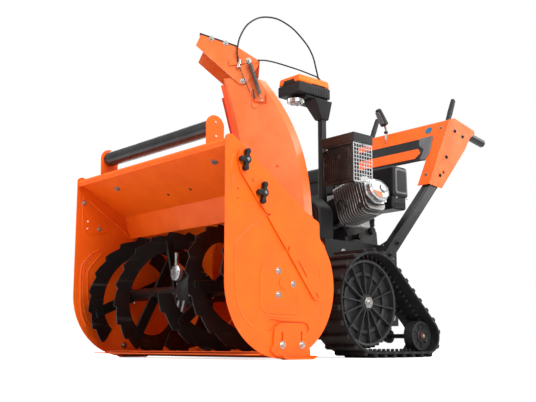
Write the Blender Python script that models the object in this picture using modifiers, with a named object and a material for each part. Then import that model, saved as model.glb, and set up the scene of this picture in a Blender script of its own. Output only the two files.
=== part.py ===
# A two-stage tracked snow blower, built as separate pieces in metres with +Z up.
# X is across the machine, Y runs from the auger housing (-Y) to the grips (+Y), and Z is 0 at the ground.
# Sizes along Y are measured from the housing's front edges; one parent empty centres the whole machine.
from math import atan2, cos, degrees, hypot, pi, radians, sin, sqrt, tan

import bmesh
import bpy
from mathutils import Matrix, Vector

# ---- driving dimensions ----
GAP = 0.0003               # play left where two pieces touch
CLEARING_WIDTH = 0.813     # between the two side plates
PLATE = 0.004              # side plate thickness
SHEET = 0.003              # bent sheet of the housing, the drum and the covers
PLATE_RADIUS = 0.212       # round part of the side plates, about the auger axis
AUGER_Y = PLATE_RADIUS + 0.001     # auger axis behind the front edges
AUGER_Z = PLATE_RADIUS + 0.003
HOUSING_HEIGHT = AUGER_Z + 0.391   # front lip above the ground
AUGER_RADIUS = PLATE_RADIUS - 0.012
RIBBON_WIDTH = 0.060
RIBBON_THICK = 0.005
RIBBON_TURN = 350          # degrees one ribbon winds from end to end
RIBBON_TEETH = 19
TOOTH_DEPTH = 0.011
RIBBON_STARTS = {"left": (7, 187), "right": (248, 68)}   # degrees at the gearcase end
SHAFT_RADIUS = 0.0127
IMPELLER_RADIUS = PLATE_RADIUS - 0.047
IMPELLER_TIP_PLAY = 0.007
DRUM_BACK_Y = AUGER_Y + 0.393      # back plate of the impeller drum
CHUTE_X = 0.020            # chute axis
CHUTE_Y = DRUM_BACK_Y - 0.083
CHUTE_NECK_RADIUS = 0.080
CHUTE_FLANGE_RADIUS = 0.150
CHUTE_BASE_Z = AUGER_Z + 0.260
CHUTE_TOP_Z = CHUTE_BASE_Z + 0.487
CHUTE_HALF_WIDTH = 0.085
CHUTE_CORNER = 0.028       # 45 degree corners of the chute's back
CHUTE_SHEET = 0.0025
CHUTE_HEADING = 40         # degrees to the machine's right at rest
DEFLECTOR_PIVOT = (0.100, CHUTE_TOP_Z - 0.010)   # ahead of the chute axis, above the ground
BUMPER_RADIUS = 0.025
BUMPER_HALF_LENGTH = 0.290
BUMPER_Y = 0.055
BUMPER_Z = HOUSING_HEIGHT + 0.066
AXLE_Y = DRUM_BACK_Y + 0.033
AXLE_RADIUS = 0.0127
WHEEL_RADIUS = AUGER_Z - 0.076     # keeps the axle clear below the impeller shaft
AXLE_Z = WHEEL_RADIUS + 0.038
WHEEL_X = 0.345            # centre plane of the drive wheels
WHEEL_WIDTH = 0.030
SPOKES = 14
TRACK_WIDTH = 0.140
TRACK_OUTER_X = 0.395
TRACK_CARCASS = 0.008
CLEAT_HEIGHT = 0.012
CLEAT_LENGTH = 0.020
CLEATS = 28
TREAD_PLAY = 0.0004        # the lugs' flat treads stand a little proud where the belt bends
IDLER_Y = AXLE_Y + WHEEL_RADIUS + 0.131
IDLER_RADIUS = 0.052
IDLER_WIDTH = 0.040
CHASSIS_HALF_WIDTH = 0.200
CHASSIS_TOP = AUGER_Z + 0.185
CHASSIS_BOTTOM = 0.110
ENGINE_FRONT_Y = DRUM_BACK_Y + 0.224
ENGINE_DEPTH = 0.190
ENGINE_REAR_Y = ENGINE_FRONT_Y + ENGINE_DEPTH
CHASSIS_REAR_Y = ENGINE_REAR_Y - 0.030
CRANK_Z = CHASSIS_TOP + 0.120
CYLINDER_TILT = 16         # degrees the cylinder rises towards +X
HANDLE_X = 0.238           # centre of the square handle tubes
HANDLE_TUBE = 0.038        # across the machine
HANDLE_DEPTH = 0.045       # seen from the side
DASH_HALF_WIDTH = 0.262
GRIP_RADIUS = 0.019
GRIP_END_Y = ENGINE_REAR_Y + 0.507
GRIP_END_Z = CHASSIS_TOP + 0.476
GRIP_DROP = 9.0            # degrees the grips slope down to the rear

# ---- derived places ----
HALF_WIDTH = CLEARING_WIDTH / 2
DRUM_RADIUS = PLATE_RADIUS - 0.0025
IMPELLER_BORE = IMPELLER_RADIUS + IMPELLER_TIP_PLAY
TRACK_THICK = TRACK_CARCASS + CLEAT_HEIGHT + TREAD_PLAY
TRACK_INNER_RADIUS = AXLE_Z - TRACK_THICK
IDLER_Z = IDLER_RADIUS + GAP + TRACK_THICK
REAR_REACH = GRIP_END_Y + GRIP_RADIUS * sin(radians(GRIP_DROP))
MID_Y = REAR_REACH / 2
CHASSIS_FRONT_Y = DRUM_BACK_Y + 0.004
COVER_FRONT_Y = CHUTE_Y + CHUTE_FLANGE_RADIUS + 0.007     # behind the turning chute
COVER_DEPTH = 0.075
PULLEY_Y = COVER_FRONT_Y + COVER_DEPTH / 2

for old in list(bpy.data.objects):
    bpy.data.objects.remove(old, do_unlink=True)


def new_collection(name):
    collection = bpy.data.collections.new(name)
    bpy.context.scene.collection.children.link(collection)
    return collection


PARTS = new_collection("snow_blower")
CUTTERS = new_collection("cutters")


def empty(name, place, parent=None):
    guide = bpy.data.objects.new(name, None)
    guide.location = place
    guide.parent = parent
    PARTS.objects.link(guide)
    return guide


MACHINE = empty("machine", (0, -MID_Y, 0))


def paint(name, colour, roughness, metallic):
    made = bpy.data.materials.new(name)
    made.use_nodes = True
    shader = made.node_tree.nodes["Principled BSDF"]
    shader.inputs["Base Color"].default_value = (*colour, 1)
    shader.inputs["Roughness"].default_value = roughness
    shader.inputs["Metallic"].default_value = metallic
    return made


def orange(name):
    return paint(name, (0.85, 0.16, 0.01), 0.35, 0.0)


def black_paint(name):
    return paint(name, (0.015, 0.015, 0.016), 0.4, 0.0)


def steel(name):
    return paint(name, (0.55, 0.55, 0.55), 0.35, 1.0)


def rubber(name):
    return paint(name, (0.02, 0.02, 0.02), 0.8, 0.0)


def plastic(name):
    return paint(name, (0.03, 0.03, 0.032), 0.5, 0.0)


def keep(obj, finish):
    """Give a finished piece its own material and file it with the parts."""
    obj.data.materials.clear()
    obj.data.materials.append(finish(obj.name))
    obj.data.shade_smooth()
    obj.data.set_sharp_from_angle(angle=radians(35))
    return obj


def piece(name, mesh, place=(0, 0, 0), turn=(0, 0, 0), parent=MACHINE):
    obj = bpy.data.objects.new(name, mesh)
    obj.location = place
    obj.rotation_euler = turn
    obj.parent = parent
    PARTS.objects.link(obj)
    return obj


def mesh_from(name, form):
    mesh = bpy.data.meshes.new(name)
    form.to_mesh(mesh)
    form.free()
    return mesh


def box(size, centre=(0, 0, 0), taper=1.0):
    """A block; taper scales its upper face."""
    form = bmesh.new()
    bmesh.ops.create_cube(form, size=1)
    for vert in form.verts:
        shrink = taper if vert.co.z > 0 else 1.0
        vert.co = Vector((vert.co.x * size[0] * shrink, vert.co.y * size[1] * shrink, vert.co.z * size[2]))
        vert.co += Vector(centre)
    return mesh_from("box", form)


def rod(radius, length, axis="Z", centre=(0, 0, 0), sides=24, end_radius=None):
    """A round bar along an axis, centred on its place."""
    form = bmesh.new()
    top = radius if end_radius is None else end_radius
    bmesh.ops.create_cone(form, cap_ends=True, segments=sides, radius1=radius, radius2=top, depth=length)
    turns = {"X": Matrix.Rotation(pi / 2, 4, "Y"), "Y": Matrix.Rotation(-pi / 2, 4, "X"), "Z": Matrix()}
    bmesh.ops.transform(form, matrix=Matrix.Translation(centre) @ turns[axis], verts=form.verts)
    return mesh_from("rod", form)


def helper(mesh, place=(0, 0, 0), turn=(0, 0, 0), parent=MACHINE):
    obj = bpy.data.objects.new("helper", mesh)
    obj.location = place
    obj.rotation_euler = turn
    obj.parent = parent
    obj.hide_render = True
    obj.display_type = "WIRE"
    CUTTERS.objects.link(obj)
    return obj


def shape(obj, mesh, operation, place=(0, 0, 0), turn=(0, 0, 0), parent=None):
    """Cut a mesh out of a piece, or join one to it, in the piece's own space."""
    other = helper(mesh, place, turn, parent or obj.parent)
    change = obj.modifiers.new(operation.lower(), "BOOLEAN")
    change.operation = operation
    change.object = other
    change.solver = "EXACT"
    return other


def cut(obj, mesh, **where):
    return shape(obj, mesh, "DIFFERENCE", **where)


def join(obj, mesh, **where):
    return shape(obj, mesh, "UNION", **where)


def flat(outlines, thickness, axis, at):
    """A plate with the given outlines in the plane across an axis, centred at a place on it."""
    curve = bpy.data.curves.new("outline", "CURVE")
    curve.dimensions = "2D"
    curve.fill_mode = "BOTH"
    curve.extrude = thickness / 2
    for outline in outlines:
        line = curve.splines.new("POLY")
        line.points.add(len(outline) - 1)
        for point, (u, v) in zip(line.points, outline):
            point.co = (u, v, 0, 1)
        line.use_cyclic_u = True
    drawn = bpy.data.objects.new("outline", curve)
    CUTTERS.objects.link(drawn)
    mesh = bpy.data.meshes.new_from_object(drawn.evaluated_get(bpy.context.evaluated_depsgraph_get()))
    bpy.data.objects.remove(drawn)
    # the outline's own axes become (Y, Z) for X, (X, Z) for Y and (X, Y) for Z
    turns = {
        "X": Matrix(((0, 0, 1, at), (1, 0, 0, 0), (0, 1, 0, 0), (0, 0, 0, 1))),
        "Y": Matrix(((1, 0, 0, 0), (0, 0, -1, at), (0, 1, 0, 0), (0, 0, 0, 1))),
        "Z": Matrix.Translation((0, 0, at)),
    }
    form = bmesh.new()
    form.from_mesh(mesh)
    bmesh.ops.remove_doubles(form, verts=form.verts, dist=0.00001)
    bmesh.ops.transform(form, matrix=turns[axis], verts=form.verts)
    return mesh_from("plate", form)


def arc(centre, radius, start, end, steps):
    """Points on an arc in degrees, both ends included."""
    angles = [radians(start + (end - start) * i / steps) for i in range(steps + 1)]
    return [(centre[0] + radius * cos(a), centre[1] + radius * sin(a)) for a in angles]


def bent_sheet(profile, start_x, end_x):
    """A sheet that follows a (Y, Z) line, drawn across the machine; Solidify gives its wall."""
    form = bmesh.new()
    line = [form.verts.new((start_x, y, z)) for y, z in profile]
    edges = [form.edges.new(pair) for pair in zip(line, line[1:])]
    made = bmesh.ops.extrude_edge_only(form, edges=edges)["geom"]
    bmesh.ops.translate(form, vec=(end_x - start_x, 0, 0),
                        verts=[v for v in made if isinstance(v, bmesh.types.BMVert)])
    bmesh.ops.recalc_face_normals(form, faces=form.faces)
    return mesh_from("sheet", form)


def wall(obj, thickness, side=1):
    solid = obj.modifiers.new("wall", "SOLIDIFY")
    solid.thickness = thickness
    solid.offset = side
    solid.use_even_offset = True
    return obj


def soften(obj, width, segments=2, angle=30):
    edge = obj.modifiers.new("edges", "BEVEL")
    edge.width = width
    edge.segments = segments
    edge.limit_method = "ANGLE"
    edge.angle_limit = radians(angle)
    return obj


def tube(name, points, radius, parent=MACHINE, resolution=2):
    """A round wire through the points, with closed ends."""
    curve = bpy.data.curves.new(name, "CURVE")
    curve.dimensions = "3D"
    curve.bevel_depth = radius
    curve.bevel_resolution = resolution
    curve.use_fill_caps = True
    line = curve.splines.new("POLY")
    line.points.add(len(points) - 1)
    for point, place in zip(line.points, points):
        point.co = (*place, 1)
    obj = bpy.data.objects.new(name, curve)
    obj.parent = parent
    PARTS.objects.link(obj)
    return obj


def smooth_route(points, steps):
    """Points on a smooth curve that passes through the given ones."""
    places = [Vector(p) for p in points]
    ends = [places[0] * 2 - places[1], *places, places[-1] * 2 - places[-2]]
    route = []
    for before, start, end, after in zip(ends, ends[1:], ends[2:], ends[3:]):
        for i in range(steps):
            t = i / steps
            bend = (2 * before - 5 * start + 4 * end - after) * t ** 2
            swing = (3 * start - before - 3 * end + after) * t ** 3
            route.append(0.5 * (2 * start + (end - before) * t + bend + swing))
    return route + [places[-1]]


def wire_finish(obj, finish):
    obj.data.materials.append(finish(obj.name))
    return obj


SIDES = (("left", 1), ("right", -1))

# ---- auger housing ----
PLATE_TOP_FRONT = HOUSING_HEIGHT + 0.009
SHOULDER = (AUGER_Y + 0.111, AUGER_Z + 0.208)      # top rear end of the sloping edge
SHOE_Y = (AUGER_Y - 0.006, AUGER_Y + 0.072)        # the shoe bolts
SHOE_BOLT_Z = 0.040
DRUM_END = 112             # degrees from +Y down to the drum's lower front rim


def plate_outline():
    round_part = arc((AUGER_Y, AUGER_Z), PLATE_RADIUS, 180, 382, 48)
    shoulder_y, shoulder_z = SHOULDER
    return round_part + [
        (shoulder_y + 0.067, shoulder_z - 0.093), (shoulder_y + 0.043, shoulder_z - 0.066),
        (shoulder_y + 0.043, shoulder_z - 0.018), (shoulder_y + 0.031, shoulder_z - 0.009),
        (shoulder_y, shoulder_z), (0.036, PLATE_TOP_FRONT), (0.018, PLATE_TOP_FRONT + 0.007),
        (0.0, PLATE_TOP_FRONT - 0.003),
    ]


def make_side_plates():
    for side, sign in SIDES:
        at = sign * (HALF_WIDTH + PLATE / 2)
        bore = arc((AUGER_Y, AUGER_Z), SHAFT_RADIUS + 0.004, 0, 345, 23)
        plate = piece("side_plate_" + side, flat([plate_outline(), bore], PLATE, "X", at))
        keep(plate, orange)


def make_auger_housing():
    half = HALF_WIDTH - GAP
    bend = (AUGER_Y - 0.018, HOUSING_HEIGHT - 0.106)
    drum = arc((AUGER_Y, AUGER_Z), DRUM_RADIUS, 88, -DRUM_END, 44)
    profile = [(0.003, HOUSING_HEIGHT - 0.020), (0.001, HOUSING_HEIGHT), bend, *drum]
    housing = piece("auger_housing", bent_sheet(profile, -half, half))
    wall(housing, SHEET, side=-1)
    window = rod(IMPELLER_BORE + SHEET + GAP, 0.4, "Y", centre=(0, AUGER_Y + 0.25, AUGER_Z), sides=48)
    cut(housing, window)
    keep(housing, orange)


def make_impeller_housing():
    length = DRUM_BACK_Y - AUGER_Y
    middle = AUGER_Y + length / 2
    drum = piece("impeller_housing", rod(IMPELLER_BORE + SHEET, length, "Y", (0, middle, AUGER_Z), 48))
    neck_top = CHUTE_BASE_Z - 0.001
    neck_length = neck_top - AUGER_Z
    neck_centre = (CHUTE_X, CHUTE_Y, AUGER_Z + neck_length / 2)
    join(drum, rod(CHUTE_NECK_RADIUS + SHEET, neck_length, "Z", neck_centre, 36))
    join(drum, rod(CHUTE_NECK_RADIUS + 0.040, 0.006, "Z", (CHUTE_X, CHUTE_Y, neck_top - 0.003), 36))
    cut(drum, rod(IMPELLER_BORE, length, "Y", (0, middle - SHEET, AUGER_Z), 48))
    inside = (CHUTE_X, CHUTE_Y, AUGER_Z + neck_length / 2 + 0.01)
    cut(drum, rod(CHUTE_NECK_RADIUS, neck_length + 0.02, "Z", inside, 36))
    cut(drum, rod(SHAFT_RADIUS + 0.0007, 0.1, "Y", (0, DRUM_BACK_Y, AUGER_Z), 24))
    # the front follows the round back of the auger housing
    cut(drum, rod(DRUM_RADIUS - SHEET, CLEARING_WIDTH, "X", (0, AUGER_Y, AUGER_Z), 72))
    keep(drum, orange)


def make_scraper():
    length = CLEARING_WIDTH - 2 * GAP
    # it lies flat under the rim of the drum, which ends 112 degrees round from the top
    rim_z = AUGER_Z - DRUM_RADIUS * cos(radians(DRUM_END - 90))
    rim_y = AUGER_Y - DRUM_RADIUS * sin(radians(DRUM_END - 90))
    thick = 0.004
    bar = piece("scraper_bar", box((length, 0.050, thick),
                                   (0, rim_y - 0.022, rim_z - SHEET - thick / 2 - GAP)))
    keep(soften(bar, 0.0008, 1), black_paint)


def make_bumper():
    reach = BUMPER_HALF_LENGTH * 2
    bar = piece("bumper_bar", rod(BUMPER_RADIUS, reach, "X", (0, BUMPER_Y, BUMPER_Z), 32))
    keep(soften(bar, 0.002, 2), black_paint)
    foot_z = HOUSING_HEIGHT + 0.0015
    for side, sign in SIDES:
        at = sign * (BUMPER_HALF_LENGTH + GAP + PLATE / 2)
        top = arc((BUMPER_Y, BUMPER_Z), BUMPER_RADIUS + 0.009, -10, 190, 16)
        outline = top + [(0.004, foot_z), (BUMPER_Y + 0.042, foot_z - 0.046)]
        bracket = piece("bumper_bracket_" + side, flat([outline], PLATE, "X", at))
        keep(bracket, orange)


# ---- skid shoes, drift cutters and their knobs ----
SHOE_THICK = 0.005
CUTTER_THICK = 0.005
PLATE_FACE = HALF_WIDTH + PLATE
CUTTER_ANGLE = -53.0       # degrees from +Y of the stored bar's run, front end to rear end
KNOB_PLACE = (0.065, HOUSING_HEIGHT - 0.054)   # upper knob: behind the front edge, above the ground
KNOB_SPACING = 0.108
CUTTER_TRAVEL = 0.28


def make_skid_shoes():
    front, rear = SHOE_Y
    slot_length = 0.036
    for side, sign in SIDES:
        at = sign * (PLATE_FACE + GAP + SHOE_THICK / 2)
        outline = [
            (front - 0.028, 0.020), (front + 0.008, 0.0), (rear + 0.024, 0.0), (rear + 0.034, 0.018),
            (rear + 0.034, 0.088), (rear + 0.020, 0.104), (front - 0.010, 0.104), (front - 0.028, 0.092),
        ]
        slots = []
        for y in SHOE_Y:
            slots.append(arc((y, SHOE_BOLT_Z), 0.0055, 180, 360, 8) + arc((y, SHOE_BOLT_Z + slot_length),
                                                                          0.0055, 0, 180, 8))
        shoe = piece("skid_shoe_" + side, flat([outline, *slots], SHOE_THICK, "X", at))
        sole = box((0.028, rear - front + 0.016, 0.005), (sign * (PLATE_FACE + GAP + 0.014),
                                                          (front + rear) / 2 + 0.008, 0.0025))
        join(shoe, sole)
        keep(shoe, orange)


def along_cutter(distance, across=0.0):
    a = radians(CUTTER_ANGLE)
    return (KNOB_PLACE[0] + distance * cos(a) - across * sin(a),
            KNOB_PLACE[1] + distance * sin(a) + across * cos(a))


def make_drift_cutters():
    run = KNOB_SPACING + CUTTER_TRAVEL
    length = run + 0.080
    for side, sign in SIDES:
        at = sign * (PLATE_FACE + GAP + CUTTER_THICK / 2)
        outline = [along_cutter(-0.042, -0.016), along_cutter(0.115, -0.018), along_cutter(0.135, -0.026),
                   along_cutter(0.250, -0.026), along_cutter(0.262, -0.018), along_cutter(length - 0.020,
                                                                                          -0.018),
                   along_cutter(length, -0.004), along_cutter(length - 0.010, 0.020),
                   along_cutter(length - 0.090, 0.034), along_cutter(0.140, 0.030), along_cutter(-0.030,
                                                                                                 0.016)]
        near = along_cutter(0.0)
        far = along_cutter(run)
        slot = arc(near, 0.0048, CUTTER_ANGLE + 90, CUTTER_ANGLE + 270, 8)
        slot += arc(far, 0.0048, CUTTER_ANGLE + 270, CUTTER_ANGLE + 450, 8)
        cutter = piece("drift_cutter_" + side, flat([outline, slot], CUTTER_THICK, "X", at))
        keep(cutter, orange)


def make_knobs():
    wing = 0.032
    for side, sign in SIDES:
        face = PLATE_FACE + CUTTER_THICK + 3 * GAP
        for place, (y, z) in (("upper", along_cutter(0.0)), ("lower", along_cutter(KNOB_SPACING))):
            outline = arc((0, wing * 0.72), 0.009, 20, 160, 8) + arc((0, 0), 0.014, 150, 210, 4)
            outline += arc((0, -wing * 0.72), 0.009, 200, 340, 8) + arc((0, 0), 0.014, 330, 390, 4)
            knob = piece("cutter_knob_%s_%s" % (side, place), flat([outline], 0.016, "X", 0),
                         (sign * (face + 0.008), y, z))
            stud = rod(0.004, CUTTER_THICK + 0.006, "X", (-sign * (0.008 + CUTTER_THICK / 2 - 0.003), 0,
                                                          0), 12)
            join(knob, stud, place=knob.location)
            keep(knob, plastic)


# ---- augers, gearcase and impeller ----
CASE_RADIUS = 0.062
CASE_HALF = 0.040
WORM_WHEEL = 0.034
ARM_PLACES = (0.10, 0.50, 0.90)    # where the arms meet a ribbon, as shares of its length
IMPELLER_START = AUGER_Y + AUGER_RADIUS + 0.022
IMPELLER_END = DRUM_BACK_Y - SHEET - 0.008


def ribbon(sign, start_angle, inner_end, outer_end):
    """One saw-toothed ribbon from beside the gearcase to beside the side plate."""
    form = bmesh.new()
    rings = []
    for i in range(2 * RIBBON_TEETH):
        # every tooth rises slowly to its tip and falls back at once
        tip = i % 2
        t = (i // 2 + 0.92 * tip) / (RIBBON_TEETH - 0.08)
        angle = radians(start_angle + t * RIBBON_TURN)
        centre_x = inner_end + (outer_end - inner_end) * t
        outer = AUGER_RADIUS - (0 if tip else TOOTH_DEPTH)
        inner = AUGER_RADIUS - RIBBON_WIDTH
        ring = []
        for r, dx in ((inner, -1), (outer, -1), (outer, 1), (inner, 1)):
            ring.append(form.verts.new((sign * (centre_x + dx * RIBBON_THICK / 2), r * cos(angle),
                                        r * sin(angle))))
        rings.append(ring)
    for here, there in zip(rings, rings[1:]):
        for k in range(4):
            form.faces.new((here[k], here[(k + 1) % 4], there[(k + 1) % 4], there[k]))
    form.faces.new(rings[0])
    form.faces.new(rings[-1])
    bmesh.ops.recalc_face_normals(form, faces=form.faces)
    return mesh_from("ribbon", form)


def make_augers():
    sleeve_radius = SHAFT_RADIUS + 0.008
    inner, outer = CASE_HALF + 0.010, HALF_WIDTH - 0.008
    ribbon_inner, ribbon_outer = inner + 0.012, outer - 0.006
    sleeve_length = outer - inner
    axis = (0, AUGER_Y, AUGER_Z)
    for side, sign in SIDES:
        centre = (sign * (inner + outer) / 2, 0, 0)
        auger = piece("auger_" + side, rod(sleeve_radius, sleeve_length, "X", centre, 20), axis)
        for start in RIBBON_STARTS[side]:
            join(auger, ribbon(sign, start, ribbon_inner, ribbon_outer), place=axis)
            for t in ARM_PLACES:
                angle = radians(start + t * RIBBON_TURN)
                x = sign * (ribbon_inner + (ribbon_outer - ribbon_inner) * t)
                reach = AUGER_RADIUS - RIBBON_WIDTH / 2
                arm = box((0.012, 0.030, reach), (0, 0, reach / 2))
                join(auger, arm, place=(x, AUGER_Y, AUGER_Z), turn=(angle - pi / 2, 0, 0))
        cut(auger, rod(SHAFT_RADIUS + GAP, sleeve_length + 0.02, "X", centre, 24), place=axis)
        keep(auger, black_paint)
    shaft = piece("auger_shaft", rod(SHAFT_RADIUS, CLEARING_WIDTH + PLATE, "X", (0, 0, 0), 24), axis)
    join(shaft, rod(WORM_WHEEL, 0.022, "X", (0, 0, 0), 40), place=axis)
    keep(shaft, steel)


def make_gearcase():
    axis = (0, AUGER_Y, AUGER_Z)
    case = piece("gearcase", rod(CASE_RADIUS, CASE_HALF * 2 - 0.012, "X", sides=32), axis)
    join(case, rod(0.030, CASE_HALF * 2, "X", sides=24), place=axis)
    snout_length = IMPELLER_START - 0.012 - AUGER_Y
    join(case, rod(0.034, snout_length, "Y", (0, snout_length / 2, 0), 28), place=axis)
    cut(case, rod(WORM_WHEEL + 0.003, 0.030, "X", sides=32), place=axis)
    cut(case, rod(SHAFT_RADIUS + 0.0006, CASE_HALF * 2 + 0.02, "X", sides=24), place=axis)
    cut(case, rod(SHAFT_RADIUS + 0.0006, snout_length + 0.02, "Y",
                  (0, WORM_WHEEL + 0.001 + (snout_length + 0.02) / 2, 0), 24), place=axis)
    keep(case, lambda name: paint(name, (0.04, 0.04, 0.042), 0.5, 0.6))


def make_impeller():
    length = IMPELLER_END - IMPELLER_START
    centre_y = length / 2
    axis = (0, IMPELLER_START, AUGER_Z)
    impeller = piece("impeller", rod(0.026, length, "Y", (0, centre_y, 0), 24), axis)
    join(impeller, rod(IMPELLER_RADIUS * 0.62, 0.005, "Y", (0, length - 0.0025, 0), 40), place=axis)
    blades = 4
    for i in range(blades):
        blade = box((0.006, length - 0.002, IMPELLER_RADIUS), (0, centre_y, IMPELLER_RADIUS / 2))
        join(impeller, blade, place=axis, turn=(0, 2 * pi * (i + 0.5) / blades, 0))
    cut(impeller, rod(SHAFT_RADIUS + GAP, length + 0.02, "Y", (0, centre_y, 0), 24), place=axis)
    keep(impeller, orange)
    worm_front = AUGER_Y + WORM_WHEEL + 0.004
    shaft_end = PULLEY_Y + 0.020
    shaft_length = shaft_end - worm_front
    shaft = piece("impeller_shaft", rod(SHAFT_RADIUS, shaft_length, "Y", (0, shaft_length / 2, 0), 24),
                  (0, worm_front, AUGER_Z))
    keep(shaft, steel)


# ---- chute, deflector and their control ----
NEAR = radians(CHUTE_HEADING)
CHUTE_AXIS = empty("chute_axis", (CHUTE_X, CHUTE_Y, 0), MACHINE)
CHUTE_AXIS.rotation_euler = (0, 0, -NEAR)     # in this frame the chute throws towards -Y


def chute_front(z):
    straight = CHUTE_BASE_Z + 0.125
    return 0.085 + 0.075 * max(0.0, (z - straight) / (CHUTE_TOP_Z - straight)) ** 1.25


def chute_back(z):
    t = (z - CHUTE_BASE_Z) / (CHUTE_TOP_Z - CHUTE_BASE_Z)
    return -0.140 + 0.022 * t + 0.140 * t ** 2.6


def chute_section(z):
    front, back, w, c = chute_front(z), chute_back(z), CHUTE_HALF_WIDTH - CHUTE_SHEET, CHUTE_CORNER
    lip = 0.008
    half = [(front + lip, w - lip), (front, w), (back + c, w), (back, w - c)]
    return half + [(a, -s) for a, s in reversed(half)]


def make_chute():
    form = bmesh.new()
    floor = CHUTE_BASE_Z + 0.004
    levels = 12
    rings = []
    for i in range(levels + 1):
        z = floor + (CHUTE_TOP_Z - floor) * i / levels
        rings.append([form.verts.new((s, -a, z)) for a, s in chute_section(z)])
    for low, high in zip(rings, rings[1:]):
        for k in range(len(low) - 1):
            form.faces.new((low[k], low[k + 1], high[k + 1], high[k]))
    bmesh.ops.recalc_face_normals(form, faces=form.faces)
    chute = piece("chute", mesh_from("chute", form), parent=CHUTE_AXIS)
    wall(chute, CHUTE_SHEET, side=0)
    flange_z = CHUTE_BASE_Z + 0.0035
    join(chute, rod(CHUTE_FLANGE_RADIUS, 0.007, "Z", (0, 0, flange_z), 56))
    apron_top = CHUTE_BASE_Z + 0.090
    front = chute_front(CHUTE_BASE_Z)
    apron = box((2 * CHUTE_HALF_WIDTH - 0.002, 0.004, apron_top - CHUTE_BASE_Z - 0.002),
                (0, -front - 0.001, (apron_top + CHUTE_BASE_Z) / 2))
    join(chute, apron)
    cut(chute, rod(CHUTE_NECK_RADIUS, 0.05, "Z", (0, 0, CHUTE_BASE_Z - 0.010), 48))
    keep(chute, orange)


DEFLECTOR_SHEET = 0.003


def make_deflector():
    pivot_a, pivot_z = DEFLECTOR_PIVOT
    inner = CHUTE_HALF_WIDTH + 0.0015
    # corners of a side plate, from the pivot round the lower edge to the tip and back over the top
    corners = [(0.010, -0.014), (0.167, 0.128), (0.150, 0.168), (0.017, 0.122), (-0.058, 0.073),
               (-0.051, 0.053), (-0.014, -0.006)]
    side_outline = [(-(pivot_a + a), pivot_z + z) for a, z in corners]
    top_line = [(-(pivot_a + a), pivot_z + z) for a, z in (corners[2], corners[3], corners[4])]
    deflector = piece("deflector", flat([side_outline], DEFLECTOR_SHEET, "X",
                                        inner + DEFLECTOR_SHEET / 2), parent=CHUTE_AXIS)
    join(deflector, flat([side_outline], DEFLECTOR_SHEET, "X", -inner - DEFLECTOR_SHEET / 2))
    drop = 0.0005
    lid = top_line + [(y, z - DEFLECTOR_SHEET) for y, z in reversed(top_line)]
    lid = [(y, z - drop) for y, z in lid]
    join(deflector, flat([lid], 2 * inner + DEFLECTOR_SHEET, "X", 0))
    keep(deflector, orange)


def make_deflector_spring():
    pivot_a, pivot_z = DEFLECTOR_PIVOT
    side = CHUTE_HALF_WIDTH + 0.018
    top = Vector((side, -(pivot_a - 0.018), pivot_z + 0.074))
    low = Vector((side, -(pivot_a - 0.066), pivot_z - 0.075))
    run = low - top
    across = Vector((1, 0, 0))
    other = run.normalized().cross(across)
    turns, steps, radius = 11, 6, 0.0050
    coil = []
    for i in range(turns * steps + 1):
        t = i / (turns * steps)
        angle = 2 * pi * i / steps
        coil.append(top + run * (0.06 + 0.88 * t) + radius * (cos(angle) * across + sin(angle) * other))
    spring = tube("deflector_spring", [top, *coil, low], 0.0011, parent=CHUTE_AXIS, resolution=0)
    wire_finish(spring, steel)


HEAD_FRONT_Y = CHUTE_Y + 0.107
HEAD_REAR_Y = CHUTE_Y + 0.272
HEAD_Z = (CHUTE_TOP_Z - 0.014, CHUTE_TOP_Z + 0.068)
CAP_Z = HEAD_Z[1] - 0.030          # lower rim of the cap that closes the head
POST_X = 0.036
POST_Y = CHUTE_Y + 0.247
POST_SIDE = 0.024
CROWN_RADIUS = 0.032


def make_control_head():
    low, high = HEAD_Z
    depth = HEAD_REAR_Y - HEAD_FRONT_Y
    middle_y = (HEAD_FRONT_Y + HEAD_REAR_Y) / 2
    head = piece("control_head", box((0.118, depth, CAP_Z - low)), (0, middle_y, (low + CAP_Z) / 2))
    soften(head, 0.008, 2)
    keep(head, plastic)
    cap = piece("control_head_cap", box((0.118, depth, high - CAP_Z - GAP), taper=0.94),
                (0, middle_y, (high + CAP_Z + GAP) / 2))
    soften(cap, 0.008, 2)
    keep(cap, orange)
    post_low = CHASSIS_TOP + GAP
    post_high = low - GAP
    post = piece("control_post", box((POST_SIDE, POST_SIDE, post_high - post_low),
                                     (POST_X, POST_Y, (post_low + post_high) / 2)))
    soften(post, 0.003, 2)
    keep(post, black_paint)
    crown_y = HEAD_FRONT_Y + CROWN_RADIUS + 0.004
    teeth = 20
    outline = []
    for i in range(teeth):
        for share, radius in ((0.0, 0.88), (0.25, 1.0), (0.5, 1.0), (0.75, 0.88)):
            angle = 2 * pi * (i + share) / teeth
            outline.append((CROWN_RADIUS * radius * cos(angle), CROWN_RADIUS * radius * sin(angle)))
    crown = piece("chute_gear", flat([outline], 0.014, "Z", 0), (0, crown_y, low - 0.008 - GAP))
    keep(crown, steel)


def chute_place(ahead, side, z):
    """Machine coordinates of a point given in the chute's own frame."""
    turn = Matrix.Rotation(-NEAR, 3, "Z")
    flat_place = turn @ Vector((side, -ahead, 0))
    return (CHUTE_X + flat_place.x, CHUTE_Y + flat_place.y, z)


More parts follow.
